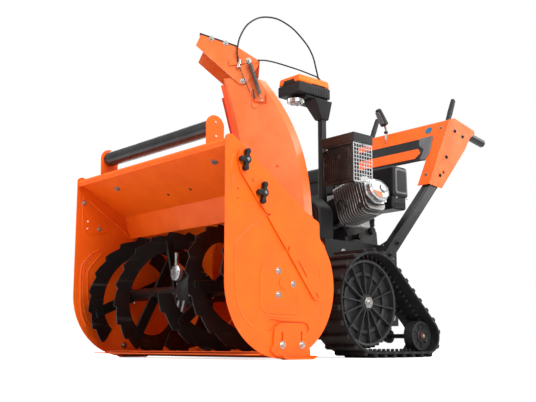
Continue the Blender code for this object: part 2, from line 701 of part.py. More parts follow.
def make_cables():
    # both Bowden cables are clipped to the chute at one end and enter the control head at the other
    clip_z = CHUTE_TOP_Z + 0.058
    start = chute_place(0.118, CHUTE_HALF_WIDTH + 0.014, clip_z)
    # how far behind the start each point of the arch lies, and its height above the start
    arch = [(-0.004, 0.040), (0.016, 0.108), (0.066, 0.168), (0.146, 0.204), (0.230, 0.203), (0.308, 0.170),
            (0.366, 0.118), (0.391, 0.056)]
    end_y = HEAD_REAR_Y - 0.022
    end_z = HEAD_Z[1] + 0.0045
    points = [start] + [(start[0], start[1] + back, start[2] + up) for back,
                        up in arch] + [(start[0], end_y, end_z)]
    wire_finish(tube("deflector_cable", smooth_route(points, 4), 0.0032), rubber)
    low_start = chute_place(0.048, CHUTE_HALF_WIDTH + 0.022, clip_z + 0.002)
    # the second cable stays beside the first all the way to the head
    beside = start[0]
    low_points = [low_start, (beside + 0.026, low_start[1] + 0.070, end_z + 0.0085),
                  (beside + 0.020, low_start[1] + 0.170, end_z + 0.0140),
                  (beside + 0.014, end_y - 0.060, end_z + 0.0125),
                  (beside + 0.014, end_y - 0.016, end_z + 0.0070), (beside + 0.014, end_y - 0.006, end_z)]
    wire_finish(tube("chute_cable", smooth_route(low_points, 5), 0.0028), rubber)


# ---- chassis, belt drive and tracks ----
BELT_WIDTH = 0.013
CRANK_PULLEY = 0.036
IMPELLER_PULLEY = 0.084
COVER_TOP = CRANK_Z + CRANK_PULLEY + 0.024
COVER_HALF = IMPELLER_PULLEY + 0.022


def belt_path(offset):
    """The belt round both pulleys, seen along Y, at a distance outside their rims."""
    low, high = IMPELLER_PULLEY + offset, CRANK_PULLEY + offset
    lean = degrees(atan2(IMPELLER_PULLEY - CRANK_PULLEY, CRANK_Z - AUGER_Z))
    return arc((0, AUGER_Z), low, 180 - lean, 360 + lean, 36) + arc((0, CRANK_Z), high, lean, 180 - lean,
                                                                    18)


def make_belt_drive():
    belt = flat([belt_path(GAP), belt_path(GAP + 0.008)], BELT_WIDTH, "Y", PULLEY_Y)
    keep(piece("drive_belt", belt), rubber)
    wheel = piece("impeller_pulley", rod(IMPELLER_PULLEY, 0.016, "Y", sides=48), (0, PULLEY_Y, AUGER_Z))
    cut(wheel, rod(SHAFT_RADIUS + GAP, 0.05, "Y", sides=24), place=wheel.location)
    keep(wheel, steel)
    small = piece("engine_pulley", rod(CRANK_PULLEY, 0.016, "Y", sides=32), (0, PULLEY_Y, CRANK_Z))
    reach = ENGINE_FRONT_Y + 0.020 - PULLEY_Y
    join(small, rod(0.0127, reach, "Y", (0, reach / 2 - 0.004, 0), 24), place=small.location)
    keep(small, steel)
    low = CHASSIS_TOP + GAP
    height = COVER_TOP - low
    cover = piece("belt_cover", box((2 * COVER_HALF, COVER_DEPTH, height)),
                  (0, COVER_FRONT_Y + COVER_DEPTH / 2, low + height / 2))
    soften(cover, 0.0015, 1)
    inside = box((2 * COVER_HALF - 2 * SHEET, COVER_DEPTH - 2 * SHEET, height), (0, 0, -SHEET))
    cut(cover, inside, place=cover.location)
    bore = rod(0.0127 + 0.004, 0.05, "Y", (0, COVER_DEPTH / 2, CRANK_Z - low - height / 2), 20)
    cut(cover, bore, place=cover.location)
    keep(cover, plastic)


def make_chassis():
    depth = CHASSIS_REAR_Y - CHASSIS_FRONT_Y
    height = CHASSIS_TOP - CHASSIS_BOTTOM
    middle = (0, (CHASSIS_FRONT_Y + CHASSIS_REAR_Y) / 2, (CHASSIS_TOP + CHASSIS_BOTTOM) / 2)
    frame = piece("chassis", box((2 * CHASSIS_HALF_WIDTH, depth, height)), middle)
    soften(frame, 0.0015, 1)
    cut(frame, box((2 * CHASSIS_HALF_WIDTH - 2 * PLATE, depth - 2 * PLATE, height), (0, 0, -PLATE)),
        place=middle)
    window_depth = COVER_DEPTH - 2 * SHEET - 0.004
    window_y = COVER_FRONT_Y + COVER_DEPTH / 2 - middle[1]
    window = box((2 * COVER_HALF - 0.012, window_depth, 0.04), (0, window_y, height / 2))
    cut(frame, window, place=middle)
    cut(frame, rod(AXLE_RADIUS + 0.0008, 0.6, "X", sides=24), place=(0, AXLE_Y, AXLE_Z))
    cut(frame, rod(SHAFT_RADIUS + 0.004, 0.05, "Y", sides=24), place=(0, CHASSIS_FRONT_Y, AUGER_Z))
    keep(frame, black_paint)


def make_transmission():
    middle = (0, PULLEY_Y + 0.110, AXLE_Z + 0.030)
    case = piece("transmission", box((0.150, 0.120, 0.130), taper=0.8), middle)
    soften(case, 0.008, 2)
    keep(case, lambda name: paint(name, (0.35, 0.35, 0.36), 0.5, 0.9))
    reach = WHEEL_X + WHEEL_WIDTH / 2 + 0.006
    axle = piece("drive_axle", rod(AXLE_RADIUS, 2 * reach, "X", sides=24), (0, AXLE_Y, AXLE_Z))
    keep(axle, steel)


def make_drive_wheels():
    place = (AXLE_Y, AXLE_Z)
    for side, sign in SIDES:
        centre = (sign * WHEEL_X, *place)
        wheel = piece("drive_wheel_" + side, rod(WHEEL_RADIUS, WHEEL_WIDTH, "X", sides=42), centre)
        cut(wheel, rod(WHEEL_RADIUS - 0.008, WHEEL_WIDTH, "X", (sign * 0.012, 0, 0), 42), place=centre)
        hub = rod(0.026, WHEEL_WIDTH, "X", sides=24)
        join(wheel, hub, place=centre)
        for i in range(SPOKES // 2):
            spoke = box((WHEEL_WIDTH - 0.006, 2 * WHEEL_RADIUS - 0.006, 0.007), (sign * 0.001, 0, 0))
            join(wheel, spoke, place=centre, turn=(2 * pi * i / SPOKES, 0, 0))
        cut(wheel, rod(AXLE_RADIUS + GAP, 0.1, "X", sides=24), place=centre)
        keep(wheel, plastic)
        idler_place = (sign * WHEEL_X, IDLER_Y, IDLER_Z)
        idler = piece("rear_idler_" + side, rod(IDLER_RADIUS, IDLER_WIDTH, "X", sides=36), idler_place)
        cut(idler, rod(IDLER_RADIUS - 0.012, 0.02, "X", (sign * (IDLER_WIDTH / 2), 0, 0), 32),
            place=idler_place)
        cut(idler, rod(0.0085, 0.1, "X", sides=20), place=idler_place)
        keep(idler, plastic)


def track_line(offset, steps=1):
    """The belt's closed line at a distance outside its inner face: round the wheel and the rear idler."""
    big, small = TRACK_INNER_RADIUS + offset, IDLER_RADIUS + GAP + offset
    run = hypot(IDLER_Y - AXLE_Y, IDLER_Z - AXLE_Z)
    slope = degrees(atan2(IDLER_Z - AXLE_Z, IDLER_Y - AXLE_Y))
    lean = degrees(atan2(big - small, sqrt(run ** 2 - (big - small) ** 2)))
    upper, lower = slope + 90 - lean, slope - 90 + lean
    wheel_arc = arc((AXLE_Y, AXLE_Z), big, upper, lower + 360, 30 * steps)
    idler_arc = arc((IDLER_Y, IDLER_Z), small, lower, upper, 14 * steps)
    return wheel_arc + idler_arc


def evenly(line, count):
    """Places and directions spaced evenly along a closed line."""
    ring = [Vector((*p, 0)) for p in line]
    lengths = [(b - a).length for a, b in zip(ring, ring[1:] + ring[:1])]
    total = sum(lengths)
    found = []
    for i in range(count):
        left = total * (i + 0.5) / count
        for k, length in enumerate(lengths):
            if left <= length:
                a, b = ring[k], ring[(k + 1) % len(ring)]
                found.append((a + (b - a) * left / length, (b - a).normalized()))
                break
            left -= length
    return found


def make_tracks():
    inner_x = TRACK_OUTER_X - TRACK_WIDTH
    for side, sign in SIDES:
        middle_x = sign * (TRACK_OUTER_X + inner_x) / 2
        belt = flat([track_line(0), track_line(TRACK_CARCASS)], TRACK_WIDTH, "X", middle_x)
        track = piece("track_" + side, belt)
        cleats = bmesh.new()
        for place, run in evenly(track_line(TRACK_CARCASS), CLEATS):
            angle = atan2(run.y, run.x)
            height = CLEAT_HEIGHT + 0.002
            rise = Vector((run.y, -run.x, 0)) * -1
            block = bmesh.ops.create_cube(cleats, size=1)["verts"]
            # a lug sunk 2 mm into the carcass, its foot wider than its tread
            for vert in block:
                outward = vert.co.z + 0.5
                narrow = 1 - 0.35 * outward
                vert.co = Vector((vert.co.x * (TRACK_WIDTH - 0.004), vert.co.y * CLEAT_LENGTH * narrow,
                                  outward * height - 0.002))
            normal = -rise
            basis = Matrix(((1, 0, 0), (0, run.x, normal.x), (0, run.y, normal.y)))
            for vert in block:
                vert.co = basis @ vert.co + Vector((middle_x, place.x, place.y))
        join(track, mesh_from("cleats", cleats))
        keep(track, rubber)


def make_track_frames():
    for side, sign in SIDES:
        at = sign * (CHASSIS_HALF_WIDTH + 0.020)
        start, end = (AXLE_Y, AXLE_Z), (IDLER_Y, IDLER_Z)
        lean = degrees(atan2(end[1] - start[1], end[0] - start[0]))
        outline = arc(start, 0.050, lean + 90, lean + 270, 16) + arc(end, 0.024, lean - 90, lean + 90, 12)
        bore = arc(start, AXLE_RADIUS + 0.0008, 0, 345, 23)
        frame = piece("track_frame_" + side, flat([outline, bore], 0.010, "X", at))
        reach = sign * (WHEEL_X + IDLER_WIDTH / 2 + 0.004) - at
        pin = rod(0.0078, abs(reach), "X", (at + reach / 2, IDLER_Y, IDLER_Z), 20)
        join(frame, pin)
        keep(frame, black_paint)


# ---- engine ----
BLOCK_HEIGHT = 0.210
CYLINDER_REACH = 0.235     # from the crank's axis to the valve cover
FINS = 9
FIN_STEP = 0.014


def make_engine():
    middle_y = (ENGINE_FRONT_Y + ENGINE_REAR_Y) / 2
    base = CHASSIS_TOP + GAP
    block_place = (-0.020, middle_y, base + BLOCK_HEIGHT / 2)
    block = piece("engine_block", box((0.230, ENGINE_DEPTH, BLOCK_HEIGHT), taper=0.82), block_place)
    soften(block, 0.014, 2)
    tilt = radians(CYLINDER_TILT)
    bore_place = (0.0, ENGINE_FRONT_Y + 0.012, CRANK_Z)
    turn = (0, pi / 2 - tilt, 0)
    join(block, box((0.090, 0.096, CYLINDER_REACH), (0, 0.0, CYLINDER_REACH / 2)), place=bore_place, turn=turn)
    for i in range(FINS):
        fin = box((0.150, 0.116, 0.004), (0, 0.0, CYLINDER_REACH - 0.010 - i * FIN_STEP))
        join(block, fin, place=bore_place, turn=turn)
    cut(block, rod(0.0127 + 0.002, 0.20, "Y", (0, ENGINE_FRONT_Y - 0.050, CRANK_Z), 20))
    keep(block, lambda name: paint(name, (0.10, 0.10, 0.105), 0.45, 0.8))
    reach = CYLINDER_REACH + GAP
    cover_thick = 0.034
    octagon = [(0.052 * cos(radians(22.5 + 45 * i)), 0.062 * sin(radians(22.5 + 45 * i))) for i in range(8)]
    cover = piece("valve_cover", flat([octagon], cover_thick, "Z", 0))
    cover.location = Vector(bore_place) + Matrix.Rotation(turn[1], 3,
                                                          "Y") @ Vector((0, 0.0, reach + cover_thick / 2))
    cover.rotation_euler = turn
    soften(cover, 0.005, 2)
    keep(cover, lambda name: paint(name, (0.5, 0.5, 0.5), 0.3, 0.9))


def make_engine_covers():
    base = CHASSIS_TOP + GAP
    muffler_place = (0.185, ENGINE_FRONT_Y - 0.106, CRANK_Z + 0.152)
    muffler = piece("muffler", box((0.150, 0.070, 0.145)), muffler_place)
    join(muffler, box((0.162, 0.104, 0.034), (0, 0.017, 0.088)), place=muffler_place)
    soften(muffler, 0.006, 2)
    keep(muffler, lambda name: paint(name, (0.25, 0.25, 0.25), 0.4, 1.0))
    tank_height = 0.120
    tank_y = ENGINE_FRONT_Y + 0.115
    tank_low = base + BLOCK_HEIGHT + 0.002
    tank = piece("fuel_tank", box((0.200, 0.170, tank_height), taper=0.9),
                 (-0.085, tank_y, tank_low + tank_height / 2))
    soften(tank, 0.018, 3)
    keep(tank, black_paint)
    cap_height = 0.018
    cap_z = tank_low + tank_height + GAP + cap_height / 2
    cap = piece("fuel_cap", rod(0.028, cap_height, "Z", sides=32), (-0.110, tank_y, cap_z))
    soften(cap, 0.003, 2)
    keep(cap, plastic)
    air_box = piece("air_box", box((0.140, 0.090, 0.160)), (0.190, ENGINE_FRONT_Y + 0.127, CRANK_Z + 0.092))
    soften(air_box, 0.012, 2)
    keep(air_box, plastic)
    recoil_y = ENGINE_REAR_Y + GAP
    recoil = piece("recoil_cover", rod(0.092, 0.040, "Y", sides=48, end_radius=0.076),
                   (-0.020, recoil_y + 0.020, CRANK_Z - 0.005))
    soften(recoil, 0.006, 2)
    keep(recoil, plastic)
    handle = piece("recoil_handle", rod(0.011, 0.090, "X", sides=20),
                   (-0.020, recoil_y + 0.040 + GAP + 0.022, CRANK_Z + 0.040))
    soften(handle, 0.004, 2)
    stem = rod(0.005, 0.020, "Y", (0, -0.012, 0), 12)
    join(handle, stem, place=handle.location)
    keep(handle, plastic)


# ---- handles and dash ----
# (Y, Z) places are measured from the engine's rear face and the chassis top
TUBE_FOOT = (ENGINE_REAR_Y - 0.1655, CHASSIS_TOP - 0.070)
TUBE_BEND = (ENGINE_REAR_Y + 0.283, CHASSIS_TOP + 0.400)


def grip_line_z(y):
    return GRIP_END_Z + (GRIP_END_Y - y) * tan(radians(GRIP_DROP))


def make_handles():
    (foot_y, foot_z), (bend_y, bend_z) = TUBE_FOOT, TUBE_BEND
    run = hypot(bend_y - foot_y, bend_z - foot_z)
    lean = atan2(bend_z - foot_z, bend_y - foot_y)
    tail_y = bend_y - 0.004
    tail_z = grip_line_z(tail_y)
    tail_run = hypot(GRIP_END_Y - tail_y, tail_z - GRIP_END_Z)
    for side, sign in SIDES:
        x = sign * HANDLE_X
        middle = (x, (foot_y + bend_y) / 2, (foot_z + bend_z) / 2)
        handle = piece("handle_" + side, box((HANDLE_TUBE, run, HANDLE_DEPTH)), middle, (lean, 0, 0))
        riser = box((HANDLE_TUBE - 0.002, HANDLE_TUBE, tail_z - bend_z + 0.020))
        join(handle, riser, place=(x, bend_y - 0.004, (tail_z + bend_z) / 2 - 0.008))
        tail = rod(GRIP_RADIUS, tail_run, "Y", sides=20)
        tail_middle = (x, (GRIP_END_Y + tail_y) / 2, (GRIP_END_Z + tail_z) / 2)
        join(handle, tail, place=tail_middle, turn=(-radians(GRIP_DROP), 0, 0))
        keep(handle, black_paint)


DASH_LINE = [(0.098, 0.248), (0.244, 0.525), (0.280, 0.540), (0.412, 0.512), (0.420, 0.500), (0.384, 0.476),
             (0.342, 0.418), (0.178, 0.240)]
LEVER_X = -0.055
LEVER_Y = ENGINE_REAR_Y + 0.235
LEVER_Z = CHASSIS_TOP + 0.505
CLUTCH_X = 0.205
CLUTCH_Y = ENGINE_REAR_Y + 0.302
CLUTCH_Z = CHASSIS_TOP + 0.515


def dash_place(points):
    return [(ENGINE_REAR_Y + y, CHASSIS_TOP + z) for y, z in points]


def make_dash():
    """The console: a bent sheet with a front face, a lid and two sides, open towards the operator below."""
    width = 2 * DASH_HALF_WIDTH
    dash = piece("dash", flat([dash_place(DASH_LINE)], width, "X", 0))
    (low_y, low_z), (high_y, high_z) = DASH_LINE[0], DASH_LINE[1]
    slope = (high_y - low_y) / (high_z - low_z)
    play = 0.0035              # the sheet seen along the sloping front face
    reach = 0.05
    inner = [(low_y + play - slope * reach, low_z - reach), (high_y + play, high_z - SHEET),
             (0.280, 0.537), (0.412, 0.509), (0.480, 0.490), (0.380, 0.200)]
    cut(dash, flat([dash_place(inner)], width - 2 * SHEET, "X", 0))
    # the front face ends above the engine between the two arms
    arm, front_end = 0.055, 0.360
    cut(dash, box((width - 2 * arm, 0.400, 0.200), (0, ENGINE_REAR_Y + 0.180,
                                                    CHASSIS_TOP + front_end - 0.100)))
    # slots for the speed lever and the two clutch levers
    slot_z = CHASSIS_TOP + 0.530
    cut(dash, box((0.016, 0.070, 0.100), (LEVER_X, LEVER_Y - 0.004, slot_z)))
    slot_start, slot_end = CLUTCH_Y - 0.026, CLUTCH_Y + 0.094
    for side, sign in SIDES:
        cut(dash, box((0.021, slot_end - slot_start, 0.040),
                      (sign * CLUTCH_X, (slot_start + slot_end) / 2, slot_z)))
    # the handle tails leave through the rear corners
    for side, sign in SIDES:
        cut(dash, box((HANDLE_TUBE + 0.008, 0.300, 0.075),
                      (sign * HANDLE_X, ENGINE_REAR_Y + 0.430, GRIP_END_Z + 0.014)))
    keep(dash, orange)


def make_levers():
    place = (LEVER_X, LEVER_Y, LEVER_Z)
    lever = piece("speed_lever", rod(0.005, 0.066, "Z", (0, 0, 0.033), 16), place)
    join(lever, box((0.030, 0.030, 0.085), taper=0.75), place=Vector(place) + Vector((0, -0.028, 0.093)),
         turn=(radians(35), 0, 0))
    soften(lever, 0.003, 2)
    keep(lever, plastic)
    for side, sign in SIDES:
        at = (sign * CLUTCH_X, CLUTCH_Y, CLUTCH_Z)
        lean = radians(-24)
        clutch = piece("clutch_lever_" + side, box((0.016, 0.024, 0.145), (0, 0, 0.0725)), at, (lean, 0, 0))
        soften(clutch, 0.004, 2)
        keep(clutch, plastic)


for make in (make_side_plates, make_auger_housing, make_impeller_housing, make_scraper, make_bumper,
             make_skid_shoes, make_drift_cutters, make_knobs, make_augers, make_gearcase, make_impeller,
             make_chute, make_deflector, make_deflector_spring, make_control_head, make_cables,
             make_belt_drive, make_chassis, make_transmission, make_drive_wheels, make_tracks,
             make_track_frames, make_engine, make_engine_covers, make_handles, make_dash, make_levers):
    make()
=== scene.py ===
from math import atan2, cos, degrees, hypot, pi, radians, sin, sqrt

import bmesh
import bpy
from mathutils import Matrix, Vector


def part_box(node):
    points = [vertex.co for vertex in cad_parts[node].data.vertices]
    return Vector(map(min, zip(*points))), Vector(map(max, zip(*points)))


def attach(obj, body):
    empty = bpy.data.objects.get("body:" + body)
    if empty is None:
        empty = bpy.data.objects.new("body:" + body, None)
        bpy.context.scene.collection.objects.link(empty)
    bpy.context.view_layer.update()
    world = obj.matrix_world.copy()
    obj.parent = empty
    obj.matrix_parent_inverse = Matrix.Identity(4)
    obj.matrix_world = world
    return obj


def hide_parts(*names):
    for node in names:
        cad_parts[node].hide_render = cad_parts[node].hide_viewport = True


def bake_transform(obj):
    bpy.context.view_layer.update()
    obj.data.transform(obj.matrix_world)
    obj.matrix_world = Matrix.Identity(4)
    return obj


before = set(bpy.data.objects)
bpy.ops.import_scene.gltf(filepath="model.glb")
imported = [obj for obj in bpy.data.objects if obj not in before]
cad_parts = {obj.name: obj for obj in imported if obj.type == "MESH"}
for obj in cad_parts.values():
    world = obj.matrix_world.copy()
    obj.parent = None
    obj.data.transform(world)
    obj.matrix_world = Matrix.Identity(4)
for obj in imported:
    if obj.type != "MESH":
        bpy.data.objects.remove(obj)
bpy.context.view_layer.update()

print("frame loaded,", len(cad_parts), "nodes")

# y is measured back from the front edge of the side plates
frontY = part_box("side_plate_left")[0][1]


def spot(x, y, z):
    return Vector((x, y + frontY, z))


# finishes
def socketIn(tree, name, kind, value=None):
    made = tree.interface.new_socket(name, in_out="INPUT", socket_type=kind)
    if value is not None:
        made.default_value = value


def newGroup(name, outputs):
    tree = bpy.data.node_groups.new(name, "ShaderNodeTree")
    socketIn(tree, "Vector", "NodeSocketVector")
    for label, kind in outputs:
        tree.interface.new_socket(label, in_out="OUTPUT", socket_type=kind)
    return tree, tree.nodes.new("NodeGroupInput"), tree.nodes.new("NodeGroupOutput")


def noiseInto(tree, source, scale, detail=3.0, rough=0.5):
    node = tree.nodes.new("ShaderNodeTexNoise")
    node.inputs["Detail"].default_value = detail
    node.inputs["Roughness"].default_value = rough
    tree.links.new(source.outputs["Vector"], node.inputs["Vector"])
    if isinstance(scale, str):
        tree.links.new(source.outputs[scale], node.inputs["Scale"])
    else:
        node.inputs["Scale"].default_value = scale
    return node.outputs["Fac"]


def mathNode(tree, operation, first, second):
    node = tree.nodes.new("ShaderNodeMath")
    node.operation = operation
    for slot, value in zip(node.inputs, (first, second)):
        if isinstance(value, (int, float)):
            slot.default_value = value
        else:
            tree.links.new(value, slot)
    return node.outputs[0]


def rangeNode(tree, value, low, high, newLow=0.0, newHigh=1.0):
    node = tree.nodes.new("ShaderNodeMapRange")
    for label, number in (("From Min", low), ("From Max", high), ("To Min", newLow), ("To Max", newHigh)):
        if isinstance(number, (int, float)):
            node.inputs[label].default_value = number
        else:
            tree.links.new(number, node.inputs[label])
    tree.links.new(value, node.inputs["Value"])
    return node.outputs["Result"]


def mixColours(tree, factor, first, second):
    node = tree.nodes.new("ShaderNodeMix")
    node.data_type = "RGBA"
    for label, value in (("Factor", factor), ("A", first), ("B", second)):
        slot = [s for s in node.inputs if s.name == label and s.enabled][0]
        if isinstance(value, (tuple, float, int)):
            slot.default_value = value
        else:
            tree.links.new(value, slot)
    return [s for s in node.outputs if s.enabled][0]


def buildMottle():
    tree, start, end = newGroup("mottle", [("Color", "NodeSocketColor"), ("Mask", "NodeSocketFloat")])
    socketIn(tree, "Light", "NodeSocketColor", (0.5, 0.5, 0.5, 1))
    socketIn(tree, "Dark", "NodeSocketColor", (0.1, 0.1, 0.1, 1))
    socketIn(tree, "Scale", "NodeSocketFloat", 12.0)
    broad = noiseInto(tree, start, "Scale", 4.0)
    mask = rangeNode(tree, broad, 0.35, 0.65)
    colour = mixColours(tree, mask, start.outputs["Dark"], start.outputs["Light"])
    tree.links.new(colour, end.inputs["Color"])
    tree.links.new(mask, end.inputs["Mask"])
    return tree


def buildGrain():
    tree, start, end = newGroup("grain", [("Height", "NodeSocketFloat")])
    socketIn(tree, "Scale", "NodeSocketFloat", 600.0)
    fine = noiseInto(tree, start, "Scale", 2.0, 0.6)
    wide = noiseInto(tree, start, 45.0, 2.0)
    tree.links.new(mathNode(tree, "ADD", fine, mathNode(tree, "MULTIPLY", wide, 0.8)), end.inputs["Height"])
    return tree


def buildGroundSpeckle():
    # a grey-brown speckle that is strongest at the ground and fades out upwards
    tree, start, end = newGroup("groundSpeckle", [("Mask", "NodeSocketFloat")])
    socketIn(tree, "Reach", "NodeSocketFloat", 0.25)
    parts = tree.nodes.new("ShaderNodeSeparateXYZ")
    tree.links.new(start.outputs["Vector"], parts.inputs[0])
    low = rangeNode(tree, parts.outputs["Z"], 0.0, start.outputs["Reach"], 1.0, 0.0)
    speck = rangeNode(tree, noiseInto(tree, start, 90.0, 4.0, 0.7), 0.45, 0.72)
    tree.links.new(mathNode(tree, "MULTIPLY", low, speck), end.inputs["Mask"])
    return tree


def buildScuffs():
    # fine stretched marks, as a brush or a carton leaves on a surface
    tree, start, end = newGroup("scuffs", [("Mask", "NodeSocketFloat")])
    socketIn(tree, "Scale", "NodeSocketFloat", 30.0)
    stretch = tree.nodes.new("ShaderNodeMapping")
    stretch.inputs["Scale"].default_value = (1.0, 0.08, 1.6)
    stretch.inputs["Rotation"].default_value = (0.5, 0.3, 0.2)
    tree.links.new(start.outputs["Vector"], stretch.inputs["Vector"])
    node = tree.nodes.new("ShaderNodeTexNoise")
    node.inputs["Detail"].default_value = 5.0
    tree.links.new(stretch.outputs["Vector"], node.inputs["Vector"])
    tree.links.new(start.outputs["Scale"], node.inputs["Scale"])
    tree.links.new(rangeNode(tree, node.outputs["Fac"], 0.6, 0.7), end.inputs["Mask"])
    return tree


groups = {"mottle": buildMottle(), "grain": buildGrain(), "groundSpeckle": buildGroundSpeckle(), "scuffs": buildScuffs()}

finishTable = {
    # light and dark colour, roughness low and high, metallic, coat, grain scale and depth, ground speckle,
    # scuffs
    "orangePowder": dict(light=(0.93, 0.128, 0.002), dark=(0.87, 0.108, 0.0015), rough=(0.42, 0.52),
                         coat=0.08,
                         grain=900, depth=0.05, groundSpeckle=0.02),
    # a brighter orange: the control head cap's own colour, and a painted highlight on the housing's front lip
    "orangeCapAndLipHighlight": dict(light=(0.98, 0.18, 0.006), dark=(0.95, 0.16, 0.005), rough=(0.42, 0.52), coat=0.08,
                         grain=900, depth=0.05),
    # a paler, greyer orange for the chute: its glossy paint, with a painted grey reflection mixed into the
    # colour
    "orangeChutePaintedReflection": dict(light=(0.8, 0.175, 0.042), dark=(0.76, 0.14, 0.022), rough=(0.3, 0.38), coat=0.3,
                        grain=900, depth=0.05),
    # a darker, redder copy of the orange paint: painted shade on the chute's front-edge strips
    "orangePaintedShade": dict(light=(0.78, 0.07, 0.004), dark=(0.7, 0.055, 0.003), rough=(0.38, 0.46), coat=0.1,
                      grain=900, depth=0.05),
    "orangePlastic": dict(light=(0.9, 0.135, 0.008), dark=(0.84, 0.115, 0.006), rough=(0.38, 0.5), grain=1400,
                          depth=0.08),
    "blackPaint": dict(light=(0.01, 0.01, 0.011), dark=(0.006, 0.006, 0.006), rough=(0.3, 0.42), coat=0.12,
                       grain=900, depth=0.06, groundSpeckle=0.03),
    "augerPaint": dict(light=(0.009, 0.008, 0.008), dark=(0.004, 0.004, 0.004), rough=(0.26, 0.42), grain=500,
                       depth=0.12, groundSpeckle=0.03, scuffs=0.1),
    "blackPlastic": dict(light=(0.01, 0.01, 0.011), dark=(0.007, 0.007, 0.007), rough=(0.42, 0.55),
                         grain=1500,
                         depth=0.14, groundSpeckle=0.02),
    "greyPlastic": dict(light=(0.14, 0.14, 0.145), dark=(0.11, 0.11, 0.115), rough=(0.4, 0.52), grain=1500,
                        depth=0.12),
    "wheelPlastic": dict(light=(0.03, 0.03, 0.032), dark=(0.02, 0.02, 0.021), rough=(0.36, 0.5), grain=1300,
                         depth=0.12, groundSpeckle=0.06),
    "trackRubber": dict(light=(0.009, 0.009, 0.009), dark=(0.005, 0.005, 0.005), rough=(0.58, 0.75),
                        grain=420,
                        depth=0.3, groundSpeckle=0.05),
    "wedgeRubber": dict(light=(0.034, 0.034, 0.035), dark=(0.022, 0.022, 0.022), rough=(0.5, 0.65), grain=420,
                        depth=0.3, groundSpeckle=0.05),
    "gripRubber": dict(light=(0.022, 0.022, 0.022), dark=(0.015, 0.015, 0.015), rough=(0.55, 0.68), grain=700,
                       depth=0.25),
    "cableSkin": dict(light=(0.015, 0.015, 0.015), dark=(0.01, 0.01, 0.01), rough=(0.35, 0.5), grain=900,
                      depth=0.05),
    "zincSteel": dict(light=(0.62, 0.61, 0.58), dark=(0.46, 0.45, 0.43), rough=(0.22, 0.38), metal=1.0,
                      grain=300,
                      depth=0.05, scuffs=0.3),
    "castAlloy": dict(light=(0.38, 0.38, 0.385), dark=(0.25, 0.25, 0.255), rough=(0.38, 0.55), metal=0.85,
                      grain=260, depth=0.35, groundSpeckle=0.1),
    "darkSteel": dict(light=(0.24, 0.22, 0.2), dark=(0.13, 0.12, 0.11), rough=(0.3, 0.45), metal=1.0,
                      grain=400,
                      depth=0.05),
    "finAlloy": dict(light=(0.42, 0.4, 0.385), dark=(0.24, 0.23, 0.22), rough=(0.3, 0.46), metal=0.9,
                     grain=260, depth=0.3),
    "silverPaint": dict(light=(0.56, 0.57, 0.58), dark=(0.44, 0.45, 0.46), rough=(0.26, 0.36), metal=0.9,
                        grain=700, depth=0.08),
    "darkCasting": dict(light=(0.05, 0.047, 0.045), dark=(0.025, 0.024, 0.024), rough=(0.4, 0.6), metal=0.6,
                        grain=260, depth=0.4, groundSpeckle=0.1),
    "muffSteel": dict(light=(0.045, 0.034, 0.03), dark=(0.018, 0.015, 0.014), rough=(0.4, 0.6), metal=0.6,
                      grain=300, depth=0.2, scuffs=0.15),
    "brownPin": dict(light=(0.19, 0.07, 0.05), dark=(0.1, 0.04, 0.03), rough=(0.35, 0.5), metal=0.5,
                     grain=500,
                     depth=0.1),
    # a dull orange: painted reflection on the valve cover's silver face
    "orangeReflectionPatch": dict(light=(0.66, 0.16, 0.03), dark=(0.6, 0.14, 0.024), rough=(0.3, 0.36), grain=900,
                        depth=0.03),
    "brushedTube": dict(light=(0.055, 0.055, 0.057), dark=(0.03, 0.03, 0.031), rough=(0.22, 0.32), metal=0.5,
                        coat=0.3, grain=900, depth=0.05),
    "badgeBlue": dict(light=(0.03, 0.17, 0.3), dark=(0.02, 0.11, 0.22), rough=(0.25, 0.32), grain=900,
                      depth=0.03),
}


def makeFinish(name, light, dark, rough, metal=0.0, coat=0.0, grain=800, depth=0.1, groundSpeckle=0.0, scuffs=0.0):
    made = bpy.data.materials.new(name)
    made.use_nodes = True
    tree = made.node_tree
    shader = tree.nodes["Principled BSDF"]
    place = tree.nodes.new("ShaderNodeTexCoord").outputs["Object"]

    def use(group, **values):
        node = tree.nodes.new("ShaderNodeGroup")
        node.node_tree = groups[group]
        tree.links.new(place, node.inputs["Vector"])
        for label, value in values.items():
            node.inputs[label].default_value = value
        return node

    mottle = use("mottle", Light=(*light, 1), Dark=(*dark, 1), Scale=14.0)
    colour, roughness = mottle.outputs["Color"], rangeNode(tree, mottle.outputs["Mask"], 0.0, 1.0, rough[1],
                                                           rough[0])
    if scuffs:
        marks = mathNode(tree, "MULTIPLY", use("scuffs", Scale=34.0).outputs["Mask"], scuffs)
        colour = mixColours(tree, marks, colour, (0.3, 0.29, 0.28, 1))
        roughness = mathNode(tree, "ADD", roughness, mathNode(tree, "MULTIPLY", marks, 0.3))
    if groundSpeckle:
        # grey-brown speckle mixed in low down, strongest at the ground and gone by 0.3 m up
        groundSpeckleAmount = mathNode(tree, "MULTIPLY", use("groundSpeckle", Reach=0.3).outputs["Mask"], groundSpeckle)
        colour = mixColours(tree, groundSpeckleAmount, colour, (0.3, 0.27, 0.24, 1))
        roughness = mathNode(tree, "ADD", roughness, mathNode(tree, "MULTIPLY", groundSpeckleAmount, 0.8))
    tree.links.new(colour, shader.inputs["Base Color"])
    tree.links.new(roughness, shader.inputs["Roughness"])
    bump = tree.nodes.new("ShaderNodeBump")
    bump.inputs["Strength"].default_value = depth
    bump.inputs["Distance"].default_value = 0.002
    tree.links.new(use("grain", Scale=float(grain)).outputs["Height"], bump.inputs["Height"])
    tree.links.new(bump.outputs["Normal"], shader.inputs["Normal"])
    shader.inputs["Metallic"].default_value = metal
    shader.inputs["Specular IOR Level"].default_value = 0.3
    shader.inputs["Coat Weight"].default_value = coat
    shader.inputs["Coat Roughness"].default_value = 0.12
    return made


finishes = {name: makeFinish(name, **values) for name, values in finishTable.items()}
print("finishes made,", len(finishes))

